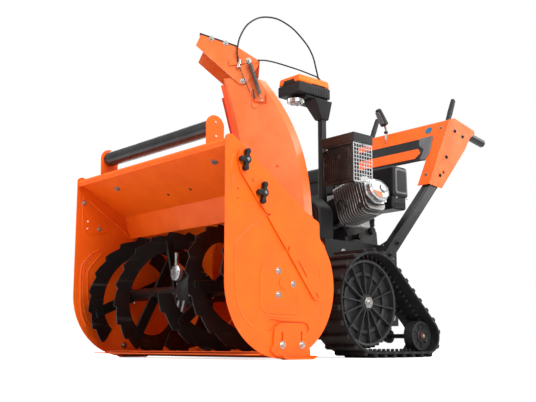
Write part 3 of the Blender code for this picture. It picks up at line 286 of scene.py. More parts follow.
nodeFinish = {
    # the chute's orange carries a painted grey reflection in its colour
    "orangeChutePaintedReflection": "chute deflector",
    "orangePowder":
        "auger_housing impeller_housing impeller dash side_plate_left side_plate_right "
        "bumper_bracket_left bumper_bracket_right drift_cutter_left drift_cutter_right skid_shoe_left "
        "skid_shoe_right",
    "blackPaint":
        "bumper_bar control_post chassis track_frame_left track_frame_right handle_left handle_right "
        "fuel_tank scraper_bar",
    "augerPaint": "auger_left auger_right",
    "zincSteel":
        "auger_shaft impeller_shaft impeller_pulley engine_pulley drive_axle deflector_spring chute_gear",
    "cableSkin": "drive_belt deflector_cable chute_cable",
    "trackRubber": "track_left track_right",
    "wheelPlastic": "drive_wheel_left drive_wheel_right rear_idler_left rear_idler_right",
    "blackPlastic":
        "cutter_knob_left_upper cutter_knob_left_lower cutter_knob_right_upper cutter_knob_right_lower "
        "control_head belt_cover fuel_cap air_box recoil_cover recoil_handle speed_lever "
        "clutch_lever_left clutch_lever_right",
    "darkCasting": "gearcase engine_block",
    "orangePlastic": "control_head_cap",
    "castAlloy": "transmission",
    "silverPaint": "valve_cover",
    "muffSteel": "muffler",
}
for finishName, nodes in nodeFinish.items():
    for node in nodes.split():
        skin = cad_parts[node]
        for slot in skin.material_slots:
            slot.material = finishes[finishName]
print("frame painted")

# studio
studio = {
    "cameraPlace": (2.1202, -2.1512, 0.0371), "azimuth": 47.924, "pitch": 10.08, "lens": 54.97,
    "floor": 30.0, "backdrop": 1.0, "ambient": 0.36, "floorGlow": 0.73,
    "lamps": [
        # place, aim, size, watts
        ((3.4, -1.0, 2.6), (0.2, -0.1, 0.45), 2.6, 150),
        ((-1.2, -3.6, 2.3), (0.0, -0.5, 0.4), 2.6, 60),
        ((0.2, 0.6, 3.8), (0.0, 0.0, 0.5), 3.2, 92),
        ((1.5, 3.2, 2.0), (0.1, 0.4, 0.5), 2.0, 50),
        ((-3.2, 1.2, 2.0), (0.0, 0.0, 0.5), 2.4, 40),
    ],
}


def buildStudio():
    form = bmesh.new()
    bmesh.ops.create_grid(form, x_segments=1, y_segments=1, size=studio["floor"])
    mesh = bpy.data.meshes.new("studioFloor")
    form.to_mesh(mesh)
    form.free()
    floor = bpy.data.objects.new("studioFloor", mesh)
    bpy.context.scene.collection.objects.link(floor)
    paint = makeFinish("studioFloorPaint", (0.9, 0.9, 0.9), (0.88, 0.88, 0.88), (0.95, 1.0), depth=0.0)
    tree = paint.node_tree
    shader = tree.nodes["Principled BSDF"]
    shader.inputs["Specular IOR Level"].default_value = 0.0
    shader.inputs["Emission Color"].default_value = (1, 1, 1, 1)
    path = tree.nodes.new("ShaderNodeLightPath")
    tree.links.new(mathNode(tree, "MULTIPLY", path.outputs["Is Camera Ray"], studio["floorGlow"]),
                   shader.inputs["Emission Strength"])
    mesh.materials.append(paint)
    world = bpy.data.worlds.new("studioLight")
    bpy.context.scene.world = world
    world.use_nodes = True
    tree = world.node_tree
    back = tree.nodes["Background"]
    path = tree.nodes.new("ShaderNodeLightPath")
    strength = rangeNode(tree, path.outputs["Is Camera Ray"], 0.0, 1.0, studio["ambient"], studio["backdrop"])
    tree.links.new(strength, back.inputs["Strength"])
    back.inputs["Color"].default_value = (1, 1, 1, 1)
    for i, (place, aim, size, watts) in enumerate(studio["lamps"]):
        lamp = bpy.data.lights.new("softbox%d" % i, "AREA")
        lamp.size = size
        lamp.energy = watts
        holder = bpy.data.objects.new("softbox%d" % i, lamp)
        holder.location = place
        holder.rotation_euler = (Vector(aim) - Vector(place)).to_track_quat("-Z", "Y").to_euler()
        bpy.context.scene.collection.objects.link(holder)
    lens = bpy.data.cameras.new("camera")
    lens.lens = studio["lens"]
    lens.sensor_width = 36.0
    lens.clip_end = 200.0
    camera = bpy.data.objects.new("camera", lens)
    camera.location = studio["cameraPlace"]
    camera.rotation_euler = (radians(90 + studio["pitch"]), 0, radians(studio["azimuth"]))
    bpy.context.scene.collection.objects.link(camera)
    bpy.context.scene.camera = camera
    bpy.context.scene.view_settings.view_transform = "Standard"


buildStudio()
print("studio ready")

# workshop tools
axisTurn = {"X": Matrix.Rotation(pi / 2, 4, "Y"), "Y": Matrix.Rotation(-pi / 2, 4, "X"), "Z": Matrix()}


def roundEdges(form, width, steps=2, angle=40):
    edges = [e for e in form.edges if len(e.link_faces) == 2 and e.calc_face_angle(0) > radians(angle)]
    bmesh.ops.bevel(form, geom=edges, offset=width, offset_type="OFFSET", segments=steps, profile=0.5,
                    affect="EDGES", clamp_overlap=True, material=-1)


def block(size, edge=0.0, steps=2, taper=(1, 1)):
    form = bmesh.new()
    made = bmesh.ops.create_cube(form, size=1)["verts"]
    bmesh.ops.scale(form, vec=size, verts=made)
    bmesh.ops.scale(form, vec=(*taper, 1), verts=[v for v in made if v.co.z > 0])
    if edge:
        roundEdges(form, edge, steps)
    return form


def barrel(radius, length, axis="Z", sides=32, end=None, edge=0.0, steps=2):
    form = bmesh.new()
    bmesh.ops.create_cone(form, cap_ends=True, segments=sides, radius1=radius,
                          radius2=radius if end is None else end, depth=length)
    if edge:
        roundEdges(form, edge, steps, 50)
    bmesh.ops.transform(form, matrix=axisTurn[axis], verts=form.verts)
    return form


def lathe(profile, axis="Z", sides=40, closed=False):
    # profile points are (distance from the axis, place along it)
    form = bmesh.new()
    points = [form.verts.new((r, 0, z)) for r, z in profile]
    pairs = list(zip(points, points[1:])) + ([(points[-1], points[0])] if closed else [])
    edges = [form.edges.new(pair) for pair in pairs]
    bmesh.ops.spin(form, geom=points + edges, cent=(0, 0, 0), axis=(0, 0, 1), angle=2 * pi, steps=sides,
                   use_merge=True)
    bmesh.ops.remove_doubles(form, verts=form.verts, dist=0.000001)
    bmesh.ops.recalc_face_normals(form, faces=form.faces)
    bmesh.ops.transform(form, matrix=axisTurn[axis], verts=form.verts)
    return form


def fromCurve(curve):
    drawn = bpy.data.objects.new("drawn", curve)
    bpy.context.scene.collection.objects.link(drawn)
    mesh = bpy.data.meshes.new_from_object(drawn.evaluated_get(bpy.context.evaluated_depsgraph_get()))
    bpy.data.objects.remove(drawn)
    form = bmesh.new()
    form.from_mesh(mesh)
    bmesh.ops.remove_doubles(form, verts=form.verts, dist=0.00001)
    return form


plateTurn = {
    "X": Matrix(((0, 0, 1, 0), (1, 0, 0, 0), (0, 1, 0, 0), (0, 0, 0, 1))),
    "Y": Matrix(((1, 0, 0, 0), (0, 0, -1, 0), (0, 1, 0, 0), (0, 0, 0, 1))),
    "Z": Matrix(),
}


def plate(outlines, thickness, axis="X", edge=0.0005):
    # outlines lie in (y, z) for a plate across X, (x, z) across Y and (x, y) across Z; later ones are holes
    curve = bpy.data.curves.new("outline", "CURVE")
    curve.dimensions = "2D"
    curve.fill_mode = "BOTH"
    curve.extrude = thickness / 2 - edge
    curve.bevel_depth = edge
    curve.bevel_resolution = 0
    curve.offset = -edge
    for outline in outlines:
        line = curve.splines.new("POLY")
        line.points.add(len(outline) - 1)
        for point, (u, v) in zip(line.points, outline):
            point.co = (u, v, 0, 1)
        line.use_cyclic_u = True
    form = fromCurve(curve)
    bmesh.ops.transform(form, matrix=plateTurn[axis], verts=form.verts)
    return form


def sweep(points, radius, smooth=True, steps=6, sides=2):
    # a round wire or bead along a line of points
    curve = bpy.data.curves.new("line", "CURVE")
    curve.dimensions = "3D"
    curve.bevel_depth = radius
    curve.bevel_resolution = sides
    curve.resolution_u = steps
    curve.use_fill_caps = True
    line = curve.splines.new("BEZIER" if smooth else "POLY")
    if smooth:
        line.bezier_points.add(len(points) - 1)
        for point, place in zip(line.bezier_points, points):
            point.co = place
            point.handle_left_type = point.handle_right_type = "AUTO"
    else:
        line.points.add(len(points) - 1)
        for point, place in zip(line.points, points):
            point.co = (*place, 1)
    return fromCurve(curve)


def arcLine(centre, radius, start, end, steps):
    angles = [radians(start + (end - start) * i / steps) for i in range(steps + 1)]
    return [(centre[0] + radius * cos(a), centre[1] + radius * sin(a)) for a in angles]


def roundedLine(points, radius, steps=4):
    # the outline with each corner rounded off
    line = []
    for before, here, after in zip(points[-1:] + points[:-1], points, points[1:] + points[:1]):
        corner = Vector(here)
        into, out = (Vector(before) - corner), (Vector(after) - corner)
        reach = min(radius, into.length * 0.45, out.length * 0.45)
        a, b = corner + into.normalized() * reach, corner + out.normalized() * reach
        for i in range(steps + 1):
            t = i / steps
            line.append(tuple(a * (1 - t) ** 2 + corner * 2 * t * (1 - t) + b * t ** 2))
    return line


def rectangle(wide, high):
    # half sizes, because most outlines are laid out from their middle
    return [(-wide, -high), (wide, -high), (wide, high), (-wide, high)]


def circle(count, first, wide, high=None):
    angles = [radians(first + 360 * i / count) for i in range(count)]
    return [(wide * cos(a), (high or wide) * sin(a)) for a in angles]


def boxOf(node):
    low, high = (Vector(corner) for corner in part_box(node))
    return low, high, (low + high) / 2, high - low


def slotLine(start, end, radius):
    turn = degrees(atan2(end[1] - start[1], end[0] - start[0]))
    return arcLine(start, radius, turn + 90, turn + 270, 5) + arcLine(end, radius, turn - 90, turn + 90, 5)


def facing(direction, roll=0.0):
    return Vector(direction).to_track_quat("Z", "Y").to_matrix().to_4x4() @ Matrix.Rotation(roll, 4, "Z")


def turnBy(angle, axis):
    return Matrix.Rotation(radians(angle), 4, axis)


class Piece:
    def __init__(self, name, usual):
        self.name, self.usual, self.form, self.skins = name, usual, bmesh.new(), []

    def add(self, part, place=(0, 0, 0), turn=None, skin=None):
        skin = skin or self.usual
        if skin not in self.skins:
            self.skins.append(skin)
        for face in part.faces:
            face.material_index = self.skins.index(skin)
        matrix = Matrix.Translation(place) @ (turn or Matrix())
        bmesh.ops.transform(part, matrix=matrix, verts=part.verts)
        carrier = bpy.data.meshes.new("carrier")
        part.to_mesh(carrier)
        part.free()
        self.form.from_mesh(carrier)
        bpy.data.meshes.remove(carrier)
        return self

    def bolt(self, place, direction, size=0.006, skin="zincSteel", washer=True, roll=0.0):
        turn = facing(direction, roll)
        place, out = Vector(place), Vector(direction).normalized()
        if washer:
            self.add(barrel(size * 1.7, size * 0.25, sides=20, edge=size * 0.06, steps=1),
                     place + out * size * 0.12, turn, skin)
        self.add(barrel(size, size * 0.85, sides=6, edge=size * 0.1, steps=1), place + out * size * 0.66,
                 turn, skin)
        self.add(barrel(size * 0.45, size * 0.5, sides=12, end=size * 0.36), place + out * size * 1.2, turn,
                 skin)
        return self

    def rivet(self, place, direction, size=0.005, skin="zincSteel"):
        dome = lathe([(size, 0), (size * 0.92, size * 0.25), (size * 0.62, size * 0.48), (0, size * 0.58)],
                     sides=16)
        return self.add(dome, place, facing(direction), skin)

    def done(self, body, stands=(), mirrored=False, sharp=35):
        form = self.form
        if mirrored:
            bmesh.ops.scale(form, vec=(-1, 1, 1), verts=form.verts)
            bmesh.ops.reverse_faces(form, faces=form.faces)
        mesh = bpy.data.meshes.new(self.name)
        form.to_mesh(mesh)
        form.free()
        for skin in self.skins:
            mesh.materials.append(finishes[skin])
        mesh.shade_smooth()
        mesh.set_sharp_from_angle(angle=radians(sharp))
        made = bpy.data.objects.new(self.name, mesh)
        bpy.context.scene.collection.objects.link(made)
        even = made.modifiers.new("evenShading", "WEIGHTED_NORMAL")
        even.keep_sharp = True
        if body:
            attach(made, body)
        if stands:
            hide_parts(*stands)
        return made


sides = (("left", False), ("right", True))

# side plates
sidePlate = {"inner": 0.4065, "outer": 0.4105, "axis": (0.213, 0.215), "round": 0.212, "bead": 0.0034,
             "beadRise": 0.0015, "pad": 0.0014}
shoe = {"middle": 0.4133, "thick": 0.005, "bolts": (0.2072, 0.2827), "boltHeight": 0.0414, "soleX": 0.4252}


def sideBead(piece, points, smooth=True, size=1.0):
    radius = sidePlate["bead"] * size
    x = sidePlate["outer"] + sidePlate["beadRise"] - radius
    piece.add(sweep([spot(x, y, z) for y, z in points], radius, smooth), skin="orangePowder")


def buildSidePlate(side, mirrored):
    piece = Piece("sidePlate_" + side, "orangePowder")
    inner, outer = sidePlate["inner"], sidePlate["outer"]
    edge = arcLine(sidePlate["axis"], sidePlate["round"], 180, 382, 72)
    edge += roundedLine([(0.391, 0.33), (0.367, 0.357), (0.367, 0.405), (0.324, 0.423)], 0.01)[:-5]
    edge += [(0.324, 0.423), (0.036, 0.615), (0.03, 0.6185), (0.018, 0.6215), (0.008, 0.619), (0.0, 0.612)]
    holes = [arcLine(at, 0.0032, 0, 330, 11) for at in ((0.046, 0.469), (0.0451, 0.4425), (0.1187, 0.4749))]
    pocket = roundedLine([(0.15, 0.08), (0.153, 0.102), (0.166, 0.1125), (0.19, 0.1115), (0.206, 0.107),
                          (0.296, 0.107), (0.312, 0.102), (0.32, 0.086), (0.312, 0.074), (0.3, 0.08),
                          (0.296, 0.092), (0.184, 0.092), (0.176, 0.084), (0.164, 0.076)], 0.004, 3)
    bore = arcLine(sidePlate["axis"], 0.0167, 0, 345, 23)
    piece.add(plate([edge, bore, pocket, *holes], 0.004, "X", 0.0008), spot((inner + outer) / 2, 0, 0))
    backing = roundedLine([(0.142, 0.07), (0.146, 0.118), (0.328, 0.116), (0.33, 0.068)], 0.008)
    piece.add(plate([backing], 0.0012, "X", 0.0003), spot(inner - 0.0008, 0, 0))
    # the raised pad that carries the auger bearing, with its inner arch and step
    pad = [(0.15, 0.1265), (0.1265, 0.138), (0.125, 0.152), (0.1246, 0.2385), (0.1333, 0.2652),
           (0.15, 0.2835), (0.1629, 0.2938), (0.193, 0.305), (0.22, 0.3092), (0.23, 0.303), (0.279, 0.228),
           (0.2825, 0.218), (0.2818, 0.14), (0.27, 0.1265)]
    piece.add(plate([roundedLine(pad, 0.01)], sidePlate["pad"] * 2, "X", 0.0011), spot(outer, 0, 0))
    rise = outer + sidePlate["pad"]
    for line in ([(0.15, 0.236), (0.156, 0.252), (0.1808, 0.27), (0.2112, 0.2794), (0.229, 0.277),
                  (0.244, 0.27)], [(0.272, 0.2), (0.2725, 0.17)], [(0.152, 0.1508), (0.273, 0.152)]):
        piece.add(sweep([spot(rise - 0.0012, y, z) for y, z in line], 0.0022))
    for y, z in ((0.1959, 0.2493), (0.2541, 0.2146), (0.1956, 0.1816)):
        piece.bolt(spot(rise, y, z), (1, 0, 0), 0.0058, roll=0.3)
    piece.add(barrel(0.0145, 0.003, "X", 32, edge=0.0008), spot(rise + 0.0008, 0.213, 0.215))
    # pressed beads that stiffen the plate
    sideBead(piece, [(0.0327, 0.5656), (0.026, 0.556), (0.0245, 0.4825), (0.0284, 0.437), (0.04, 0.4245),
                     (0.056, 0.4215), (0.0805, 0.4265), (0.104, 0.437)])
    sideBead(piece, [(0.1126, 0.3825), (0.05, 0.33)], False)
    sideBead(piece, [(0.05, 0.33), (0.04, 0.318), (0.0373, 0.3), (0.0371, 0.2079), (0.0486, 0.1494),
                     (0.0683, 0.1163), (0.0993, 0.0896)])
    sideBead(piece, [(0.3574, 0.1598), (0.3459, 0.1366), (0.3164, 0.1087)])
    sideBead(piece, [(0.3672, 0.2388), (0.364, 0.26), (0.359, 0.272)], True, 0.8)
    sideBead(piece, [(0.144, 0.1295), (0.154, 0.1235), (0.268, 0.1232), (0.283, 0.13)], True, 0.9)
    for y in shoe["bolts"]:
        # nuts of the shoe bolts on the inner side
        piece.bolt(spot(inner - 0.0014, y, shoe["boltHeight"]), (-1, 0, 0), 0.0062)
    piece.done("root", ["side_plate_" + side], mirrored)


for side, mirrored in sides:
    buildSidePlate(side, mirrored)
print("side plates pressed")

# drift cutters, knobs and skid shoes
cutter = {"inner": 0.4124, "thick": 0.0034, "angle": -53.0, "top": (0.065, 0.552), "spacing": 0.108}


def alongCutter(distance, across=0.0):
    a = radians(cutter["angle"])
    return (cutter["top"][0] + distance * cos(a) - across * sin(a), cutter["top"][1] + distance * sin(a)
            + across * cos(a))


def buildCutter(side, mirrored):
    piece = Piece("driftCutter_" + side, "orangePowder")
    edge = [(0.0405, 0.55), (0.0513, 0.5172), (0.1124, 0.4449), (0.1509, 0.4085), (0.1659, 0.4105),
            (0.1612, 0.4035), (0.1509, 0.4035), (0.2267, 0.3098), (0.2361, 0.3242), (0.2385, 0.3175),
            (0.231, 0.305), (0.3334, 0.1773), (0.342, 0.17), (0.3596, 0.1737), (0.36, 0.183), (0.348, 0.208),
            (0.327, 0.256), (0.295, 0.306), (0.175, 0.46), (0.102, 0.548), (0.075, 0.58), (0.056, 0.584),
            (0.044, 0.574)]
    slits = [slotLine((0.2735, 0.2814), (0.306, 0.238), 0.0016),
             slotLine((0.093, 0.501), (0.1, 0.493), 0.0012),
             slotLine((0.344, 0.1915), (0.354, 0.179), 0.0018)]
    x = cutter["inner"] + cutter["thick"] / 2
    piece.add(plate([roundedLine(edge, 0.003, 2), *slits], cutter["thick"], "X", 0.0008), spot(x, 0, 0))
    piece.done("cutter_%s_unit" % side, ["drift_cutter_" + side], mirrored)


knob = {"core": 0.0125, "deep": 0.0155, "wing": 0.0245, "thirdWing": 0.0165, "tip": 0.0082}


def buildKnob(side, mirrored, place, distance):
    piece = Piece("cutterKnob_%s_%s" % (side, place), "blackPlastic")
    y, z = alongCutter(distance)
    at = spot(cutter["inner"] + cutter["thick"] + 0.0009, y, z)
    depth = knob["deep"]
    piece.add(barrel(knob["core"], depth, "X", 28, edge=0.0025), at + Vector((depth / 2, 0, 0)))
    for lobe in (82, 262, 180):
        turn = turnBy(lobe, "X")
        reach = knob["thirdWing"] if lobe == 180 else knob["wing"]
        arm = block((depth - 0.002, reach, 0.0125), 0.003, 3)
        piece.add(arm, at + turn @ Vector((0, reach / 2, 0)) + Vector((depth / 2, 0, 0)), turn)
        tip = barrel(knob["tip"], depth - 0.001, "X", 24, edge=0.0028, steps=3)
        piece.add(tip, at + turn @ Vector((0, reach, 0)) + Vector((depth / 2, 0, 0)))
    piece.add(barrel(0.0048, 0.003, "X", 20, edge=0.0006), at + Vector((depth + 0.0002, 0, 0)),
              skin="zincSteel")
    piece.add(barrel(0.004, 0.01, "X", 16), at - Vector((0.004, 0, 0)), skin="zincSteel")
    piece.done("knob_%s_%s_unit" % (side, place), ["cutter_knob_%s_%s" % (side, place)],
               mirrored)


def buildShoe(side, mirrored):
    piece = Piece("skidShoe_" + side, "orangePowder")
    x = shoe["middle"]
    edge = [(0.1765, 0.082), (0.19, 0.096), (0.209, 0.1035), (0.288, 0.102), (0.302, 0.09), (0.3065, 0.044),
            (0.32, 0.024), (0.319, 0.006), (0.308, 0.0), (0.21, 0.0), (0.179, 0.013), (0.162, 0.0265),
            (0.174, 0.04)]
    slots = [slotLine((y, 0.04), (y, 0.076), 0.003) for y in shoe["bolts"]]
    piece.add(plate([roundedLine(edge, 0.006), *slots], shoe["thick"], "X", 0.001), spot(x, 0, 0))
    sole = block((0.027, 0.1, 0.005), 0.0018)
    piece.add(sole, spot(shoe["soleX"], 0.259, 0.0026))
    for y, tilt in ((0.202, 24), (0.316, -24)):
        piece.add(block((0.0268, 0.02, 0.0045), 0.0016), spot(shoe["soleX"], y, 0.006), turnBy(-tilt, "X"))
    piece.done("shoe_%s_unit" % side, ["skid_shoe_" + side], mirrored)
    bolts = Piece("shoeBolts_" + side, "zincSteel")
    for y in shoe["bolts"]:
        place = spot(x + shoe["thick"] / 2, y, shoe["boltHeight"])
        bolts.add(barrel(0.011, 0.0016, "X", 28, edge=0.0004), place + Vector((0.001, 0, 0)))
        bolts.add(barrel(0.0072, 0.006, "X", 6, edge=0.0008, steps=1), place + Vector((0.0045, 0, 0)))
        bolts.add(barrel(0.004, 0.006, "X", 20, edge=0.0008), place + Vector((0.008, 0, 0)))
        bolts.add(barrel(0.0027, 0.011, "X", 14), place - Vector((0.005, 0, 0)))
    bolts.done("root", (), mirrored)


for side, mirrored in sides:
    buildCutter(side, mirrored)
    buildKnob(side, mirrored, "upper", 0.0)
    buildKnob(side, mirrored, "lower", cutter["spacing"])
    buildShoe(side, mirrored)
print("cutters and shoes bolted on")

# front end of the housing
bumper = {"y": 0.055, "z": 0.672, "radius": 0.025, "half": 0.29, "sheet": 0.004}


def buildBumper():
    piece = Piece("bumperBar", "brushedTube")
    half, r = bumper["half"], bumper["radius"]
    piece.add(lathe([(0, -half), (r * 0.8, -half), (r * 0.94, -half + 0.0016), (r, -half + 0.005),
                     (r, half - 0.005), (r * 0.94, half - 0.0016), (r * 0.8, half), (0, half)], "X", 48),
              spot(0, bumper["y"], bumper["z"]))
    piece.done("root", ["bumper_bar"])
    for side, mirrored in sides:
        piece = Piece("bumperBracket_" + side, "orangePowder")
        centre = (bumper["y"], bumper["z"])
        edge = arcLine(centre, r + 0.0085, -8, 188, 24) + [(0.023, 0.5985), (0.088, 0.566)]
        x = half + 0.0003 + bumper["sheet"] / 2
        piece.add(plate([edge], bumper["sheet"], "X", 0.0009), spot(x, 0, 0))
        for y, z in ((0.056, 0.684), (0.058, 0.642)):
            piece.rivet(spot(x + 0.002, y, z), (1, 0, 0), 0.0042, "zincSteel")
        piece.done("root", ["bumper_bracket_" + side], mirrored)


housing = {"wide": 0.811, "roofFront": 0.606, "roofSlope": 0.5464, "drumRadius": 0.1765, "backRadius": 0.2065}


def buildHousingTrim():
    # the folded front lip, in a brighter orange that paints the highlight along the housing's top edge, seam
    # welds and the bolts seen under the sloping top
    piece = Piece("housingTrim", "orangePowder")
    piece.add(block((housing["wide"], 0.004, 0.007), 0.0012), spot(0, 0.003, 0.603), skin="orangeCapAndLipHighlight")
    down = (0, -0.48, -0.877)
    for x, y in ((-0.254, 0.066), (0.283, 0.062)):
        z = housing["roofFront"] - y * housing["roofSlope"] - 0.003
        piece.add(barrel(0.0105, 0.0022, sides=28, edge=0.0006), spot(x, y, z), facing(down),
                  skin="castAlloy")
        piece.bolt(spot(x, y - 0.0006, z - 0.0012), down, 0.0062, "castAlloy")
    for x in (-0.056, 0.066):
        piece.rivet(spot(x, 0.138, housing["roofFront"] - 0.003 - 0.138 * housing["roofSlope"]), down, 0.0048,
                    "darkCasting")
    # knob nuts and stiffening ridges pressed into the inner faces of the side plates
    for side in (-1, 1):
        for y, z in ((0.065, 0.552), (0.13, 0.4657)):
            piece.bolt(spot(side * 0.4065, y - 0.037, z - 0.02), (-side, 0, 0), 0.0058)
        for line in ([(0.0489, 0.5425), (0.08, 0.521), (0.2202, 0.4243), (0.26, 0.38)],
                     [(0.04, 0.438), (0.09, 0.429), (0.1194, 0.44)],
                     [(0.1074, 0.3583), (0.0997, 0.369), (0.0891, 0.3688), (0.03, 0.317), (0.0262, 0.3043),
                      (0.0262, 0.2), (0.033, 0.15), (0.052, 0.1054)],
                     [(0.1074, 0.3583), (0.1, 0.354), (0.057, 0.303), (0.0525, 0.2959), (0.0525, 0.2343),
                      (0.064, 0.16)]):
            piece.add(sweep([spot(side * 0.406, y, z) for y, z in line], 0.0042))
    # the weld bead where the drum meets the housing, round the impeller opening
    (y0, z0), back = sidePlate["axis"], housing["backRadius"]
    ring = [spot(x, y0 + sqrt(back ** 2 - z ** 2) - 0.0005, z0 + z) for x,
            z in circle(72, 0, housing["drumRadius"])]
    ring.append(ring[0])
    piece.add(sweep(ring, 0.0022, False))
    piece.done("root")


def buildScraper():
    piece = Piece("scraperBar", "orangePowder")
    low, high, middle, size = boxOf("scraper_bar")
    piece.add(block(size, 0.0009, 1), middle)
    piece.done("root", ["scraper_bar"])


buildBumper()
buildHousingTrim()
buildScraper()
print("housing trimmed")

# augers
auger = {"y": 0.213, "z": 0.215, "radius": 0.2, "ribbon": 0.06, "thick": 0.0045, "turn": 350, "teeth": 19,
         "tooth": 0.011, "toothRun": 0.84, "inner": 0.062, "outer": 0.3785,
         "starts": {"left": (7, 187), "right": (248, 68)}}


def sawRibbon(start, mirrored):
    # spin a short flat section along a screw line, then draw each tooth in towards its root
    form = bmesh.new()
    sign = -1 if mirrored else 1
    r, w, half = auger["radius"], auger["ribbon"], auger["thick"] / 2
    corners = [form.verts.new((x, rr, 0)) for rr,
               x in ((r - w, -half), (r - w * 0.5, -half), (r, -half), (r, half), (r - w * 0.5, half),
                     (r - w, half))]
    face = form.faces.new(corners)
    perTooth = 6
    steps = auger["teeth"] * perTooth
    travel = sign * (auger["outer"] - auger["inner"])
    bmesh.ops.spin(form, geom=[face, *face.edges, *face.verts], cent=(0, 0, 0), axis=(1, 0, 0),
                   dvec=(travel / steps, 0, 0), angle=radians(auger["turn"]), steps=steps, use_merge=False)
    bmesh.ops.remove_doubles(form, verts=form.verts, dist=0.00001)
    bmesh.ops.recalc_face_normals(form, faces=form.faces)
    wound, run = radians(auger["turn"]), auger["toothRun"]
    for vert in form.verts:
        reach = hypot(vert.co.y, vert.co.z)
        if reach < r - w * 0.2:
            continue
        angle = atan2(vert.co.z, vert.co.y)
        angle += 2 * pi * round((vert.co.x / travel * wound - angle) / (2 * pi))
        share = angle / wound * auger["teeth"]
        share = share - int(share + 0.02)
        drop = auger["tooth"] * (1 - share / run if share < run else (share - run) / (1 - run))
        vert.co.y *= (reach - drop) / reach
        vert.co.z *= (reach - drop) / reach
    bmesh.ops.rotate(form, cent=(0, 0, 0), matrix=Matrix.Rotation(radians(start), 3, "X"), verts=form.verts)
    bmesh.ops.translate(form, vec=(sign * auger["inner"], 0, 0), verts=form.verts)
    return form


def buildAuger(side, mirrored):
    piece = Piece("auger_" + side + "_ribbons", "augerPaint")
    sign = -1 if mirrored else 1
    axis = spot(0, auger["y"], auger["z"])
    length = 0.3485
    sleeve = lathe([(0.013, -length / 2), (0.0205, -length / 2), (0.0212, -length / 2 + 0.001),
                    (0.0212, length / 2 - 0.001), (0.0205, length / 2), (0.013, length / 2)], "X", 32, True)
    piece.add(sleeve, axis + Vector((sign * (0.05 + length / 2), 0, 0)))
    for start in auger["starts"][side]:
        piece.add(sawRibbon(start, mirrored), axis)
        for t in (0.1, 0.5, 0.9):
            angle = start + t * auger["turn"]
            x = sign * (auger["inner"] + (auger["outer"] - auger["inner"]) * t)
            reach = auger["radius"] - auger["ribbon"] * 0.45
            arm = block((0.0095, 0.034, reach - 0.012), 0.0016, 1)
            turn = turnBy(angle - 90, "X")
            piece.add(arm, axis + Vector((x, 0, 0)) + turn @ Vector((0, 0, (reach + 0.012) / 2)), turn)
            for k in (-0.008, 0.008):
                head = turn @ Vector((sign * 0.0055, k, reach - 0.014))
                piece.bolt(axis + Vector((x, 0, 0)) + head, (sign, 0, 0), 0.0042, "augerPaint", False)
    for x in (0.056, 0.392):
        piece.add(lathe([(0.013, -0.005), (0.0265, -0.005), (0.0275, -0.004), (0.0275, 0.004),
                         (0.0265, 0.005), (0.013, 0.005)], "X", 32, True), axis + Vector((sign * x, 0, 0)))
        shear = block((0.006, 0.006, 0.064), 0.0015, 1)
        piece.add(shear, axis + Vector((sign * (x + (0.016 if x < 0.1 else -0.016)), 0, 0)), turnBy(30, "X"),
                  skin="zincSteel")
    piece.done("augers", ["auger_" + side])


def buildGearcase():
    piece = Piece("gearcaseCasting", "darkCasting")
    axis = spot(0, auger["y"], auger["z"])
    shell = lathe([(0, -0.034), (0.044, -0.034), (0.056, -0.029), (0.0618, -0.019), (0.0618, -0.004),
                   (0.0605, -0.003), (0.0605, 0.003), (0.0618, 0.004), (0.0618, 0.019), (0.056, 0.029),
                   (0.044, 0.034), (0, 0.034)], "X", 56)
    piece.add(shell, axis)
    piece.add(barrel(0.03, 0.0795, "X", 40, edge=0.002), axis)
    snout = lathe([(0, 0), (0.046, 0), (0.038, 0.06), (0.034, 0.075), (0.034, 0.196), (0.031, 0.199),
                   (0, 0.199)], "Y", 40)
    piece.add(snout, axis + Vector((0, 0.01, 0)))
    # bolts round the split line
    for y, z in circle(8, 22, 0.0515):
        for sign in (-1, 1):
            piece.bolt(axis + Vector((sign * 0.0305, y, z)), (sign, 0, 0), 0.004, "zincSteel", False)
    # the round cover on the front, its plug and the filler pin above
    front = spot(-0.022, 0.156, 0.269)
    lean = (0, -1, 0.05)
    piece.add(block((0.036, 0.05, 0.04), 0.006, 2), front + Vector((0, 0.03, -0.01)))
    piece.add(lathe([(0, 0.011), (0.02, 0.011), (0.0245, 0.0085), (0.0265, 0.004), (0.0265, -0.004),
                     (0, -0.004)], "Z", 40), front, facing(lean), skin="silverPaint")
    for x, y in circle(5, 10, 0.02):
        piece.bolt(front + facing(lean) @ Vector((x, y, 0.009)), lean, 0.0026, "zincSteel", False)
    piece.add(barrel(0.0068, 0.05, "Z", 20, edge=0.0015), spot(-0.0325, 0.16, 0.31), skin="zincSteel")
    for x in (-0.022, 0.006):
        piece.add(block((0.012, 0.012, 0.042), 0.003, 2), spot(x, 0.164, 0.164), turnBy(-14, "X"),
                  skin="castAlloy")
    piece.done("root", ["gearcase"])


for side, mirrored in sides:
    buildAuger(side, mirrored)
buildGearcase()
print("augers wound")

# tracks, wheels and idlers
track = {"axle": (0.639, 0.177), "idler": (0.909, 0.0727), "bigRadius": 0.1566, "smallRadius": 0.0523,
         "carcass": 0.008, "lugs": 28, "lug": 0.012, "lugFoot": 0.02, "wide": 0.14, "outerX": 0.395,
         "innerLugs": 56, "wheelX": 0.345}


wheel = {"radius": 0.139, "spokes": 14, "teeth": 42, "hub": 0.024}


def beltLine(offset):
    big, small = track["bigRadius"] + offset, track["smallRadius"] + offset
    (ay, az), (iy, iz) = track["axle"], track["idler"]
    run, slope = hypot(iy - ay, iz - az), degrees(atan2(iz - az, iy - ay))
    lean = degrees(atan2(big - small, sqrt(run ** 2 - (big - small) ** 2)))
    upper, lower = slope + 90 - lean, slope - 90 + lean
    return (arcLine(track["axle"], big, upper, lower + 360, 60)
            + arcLine(track["idler"], small, lower, upper, 28))


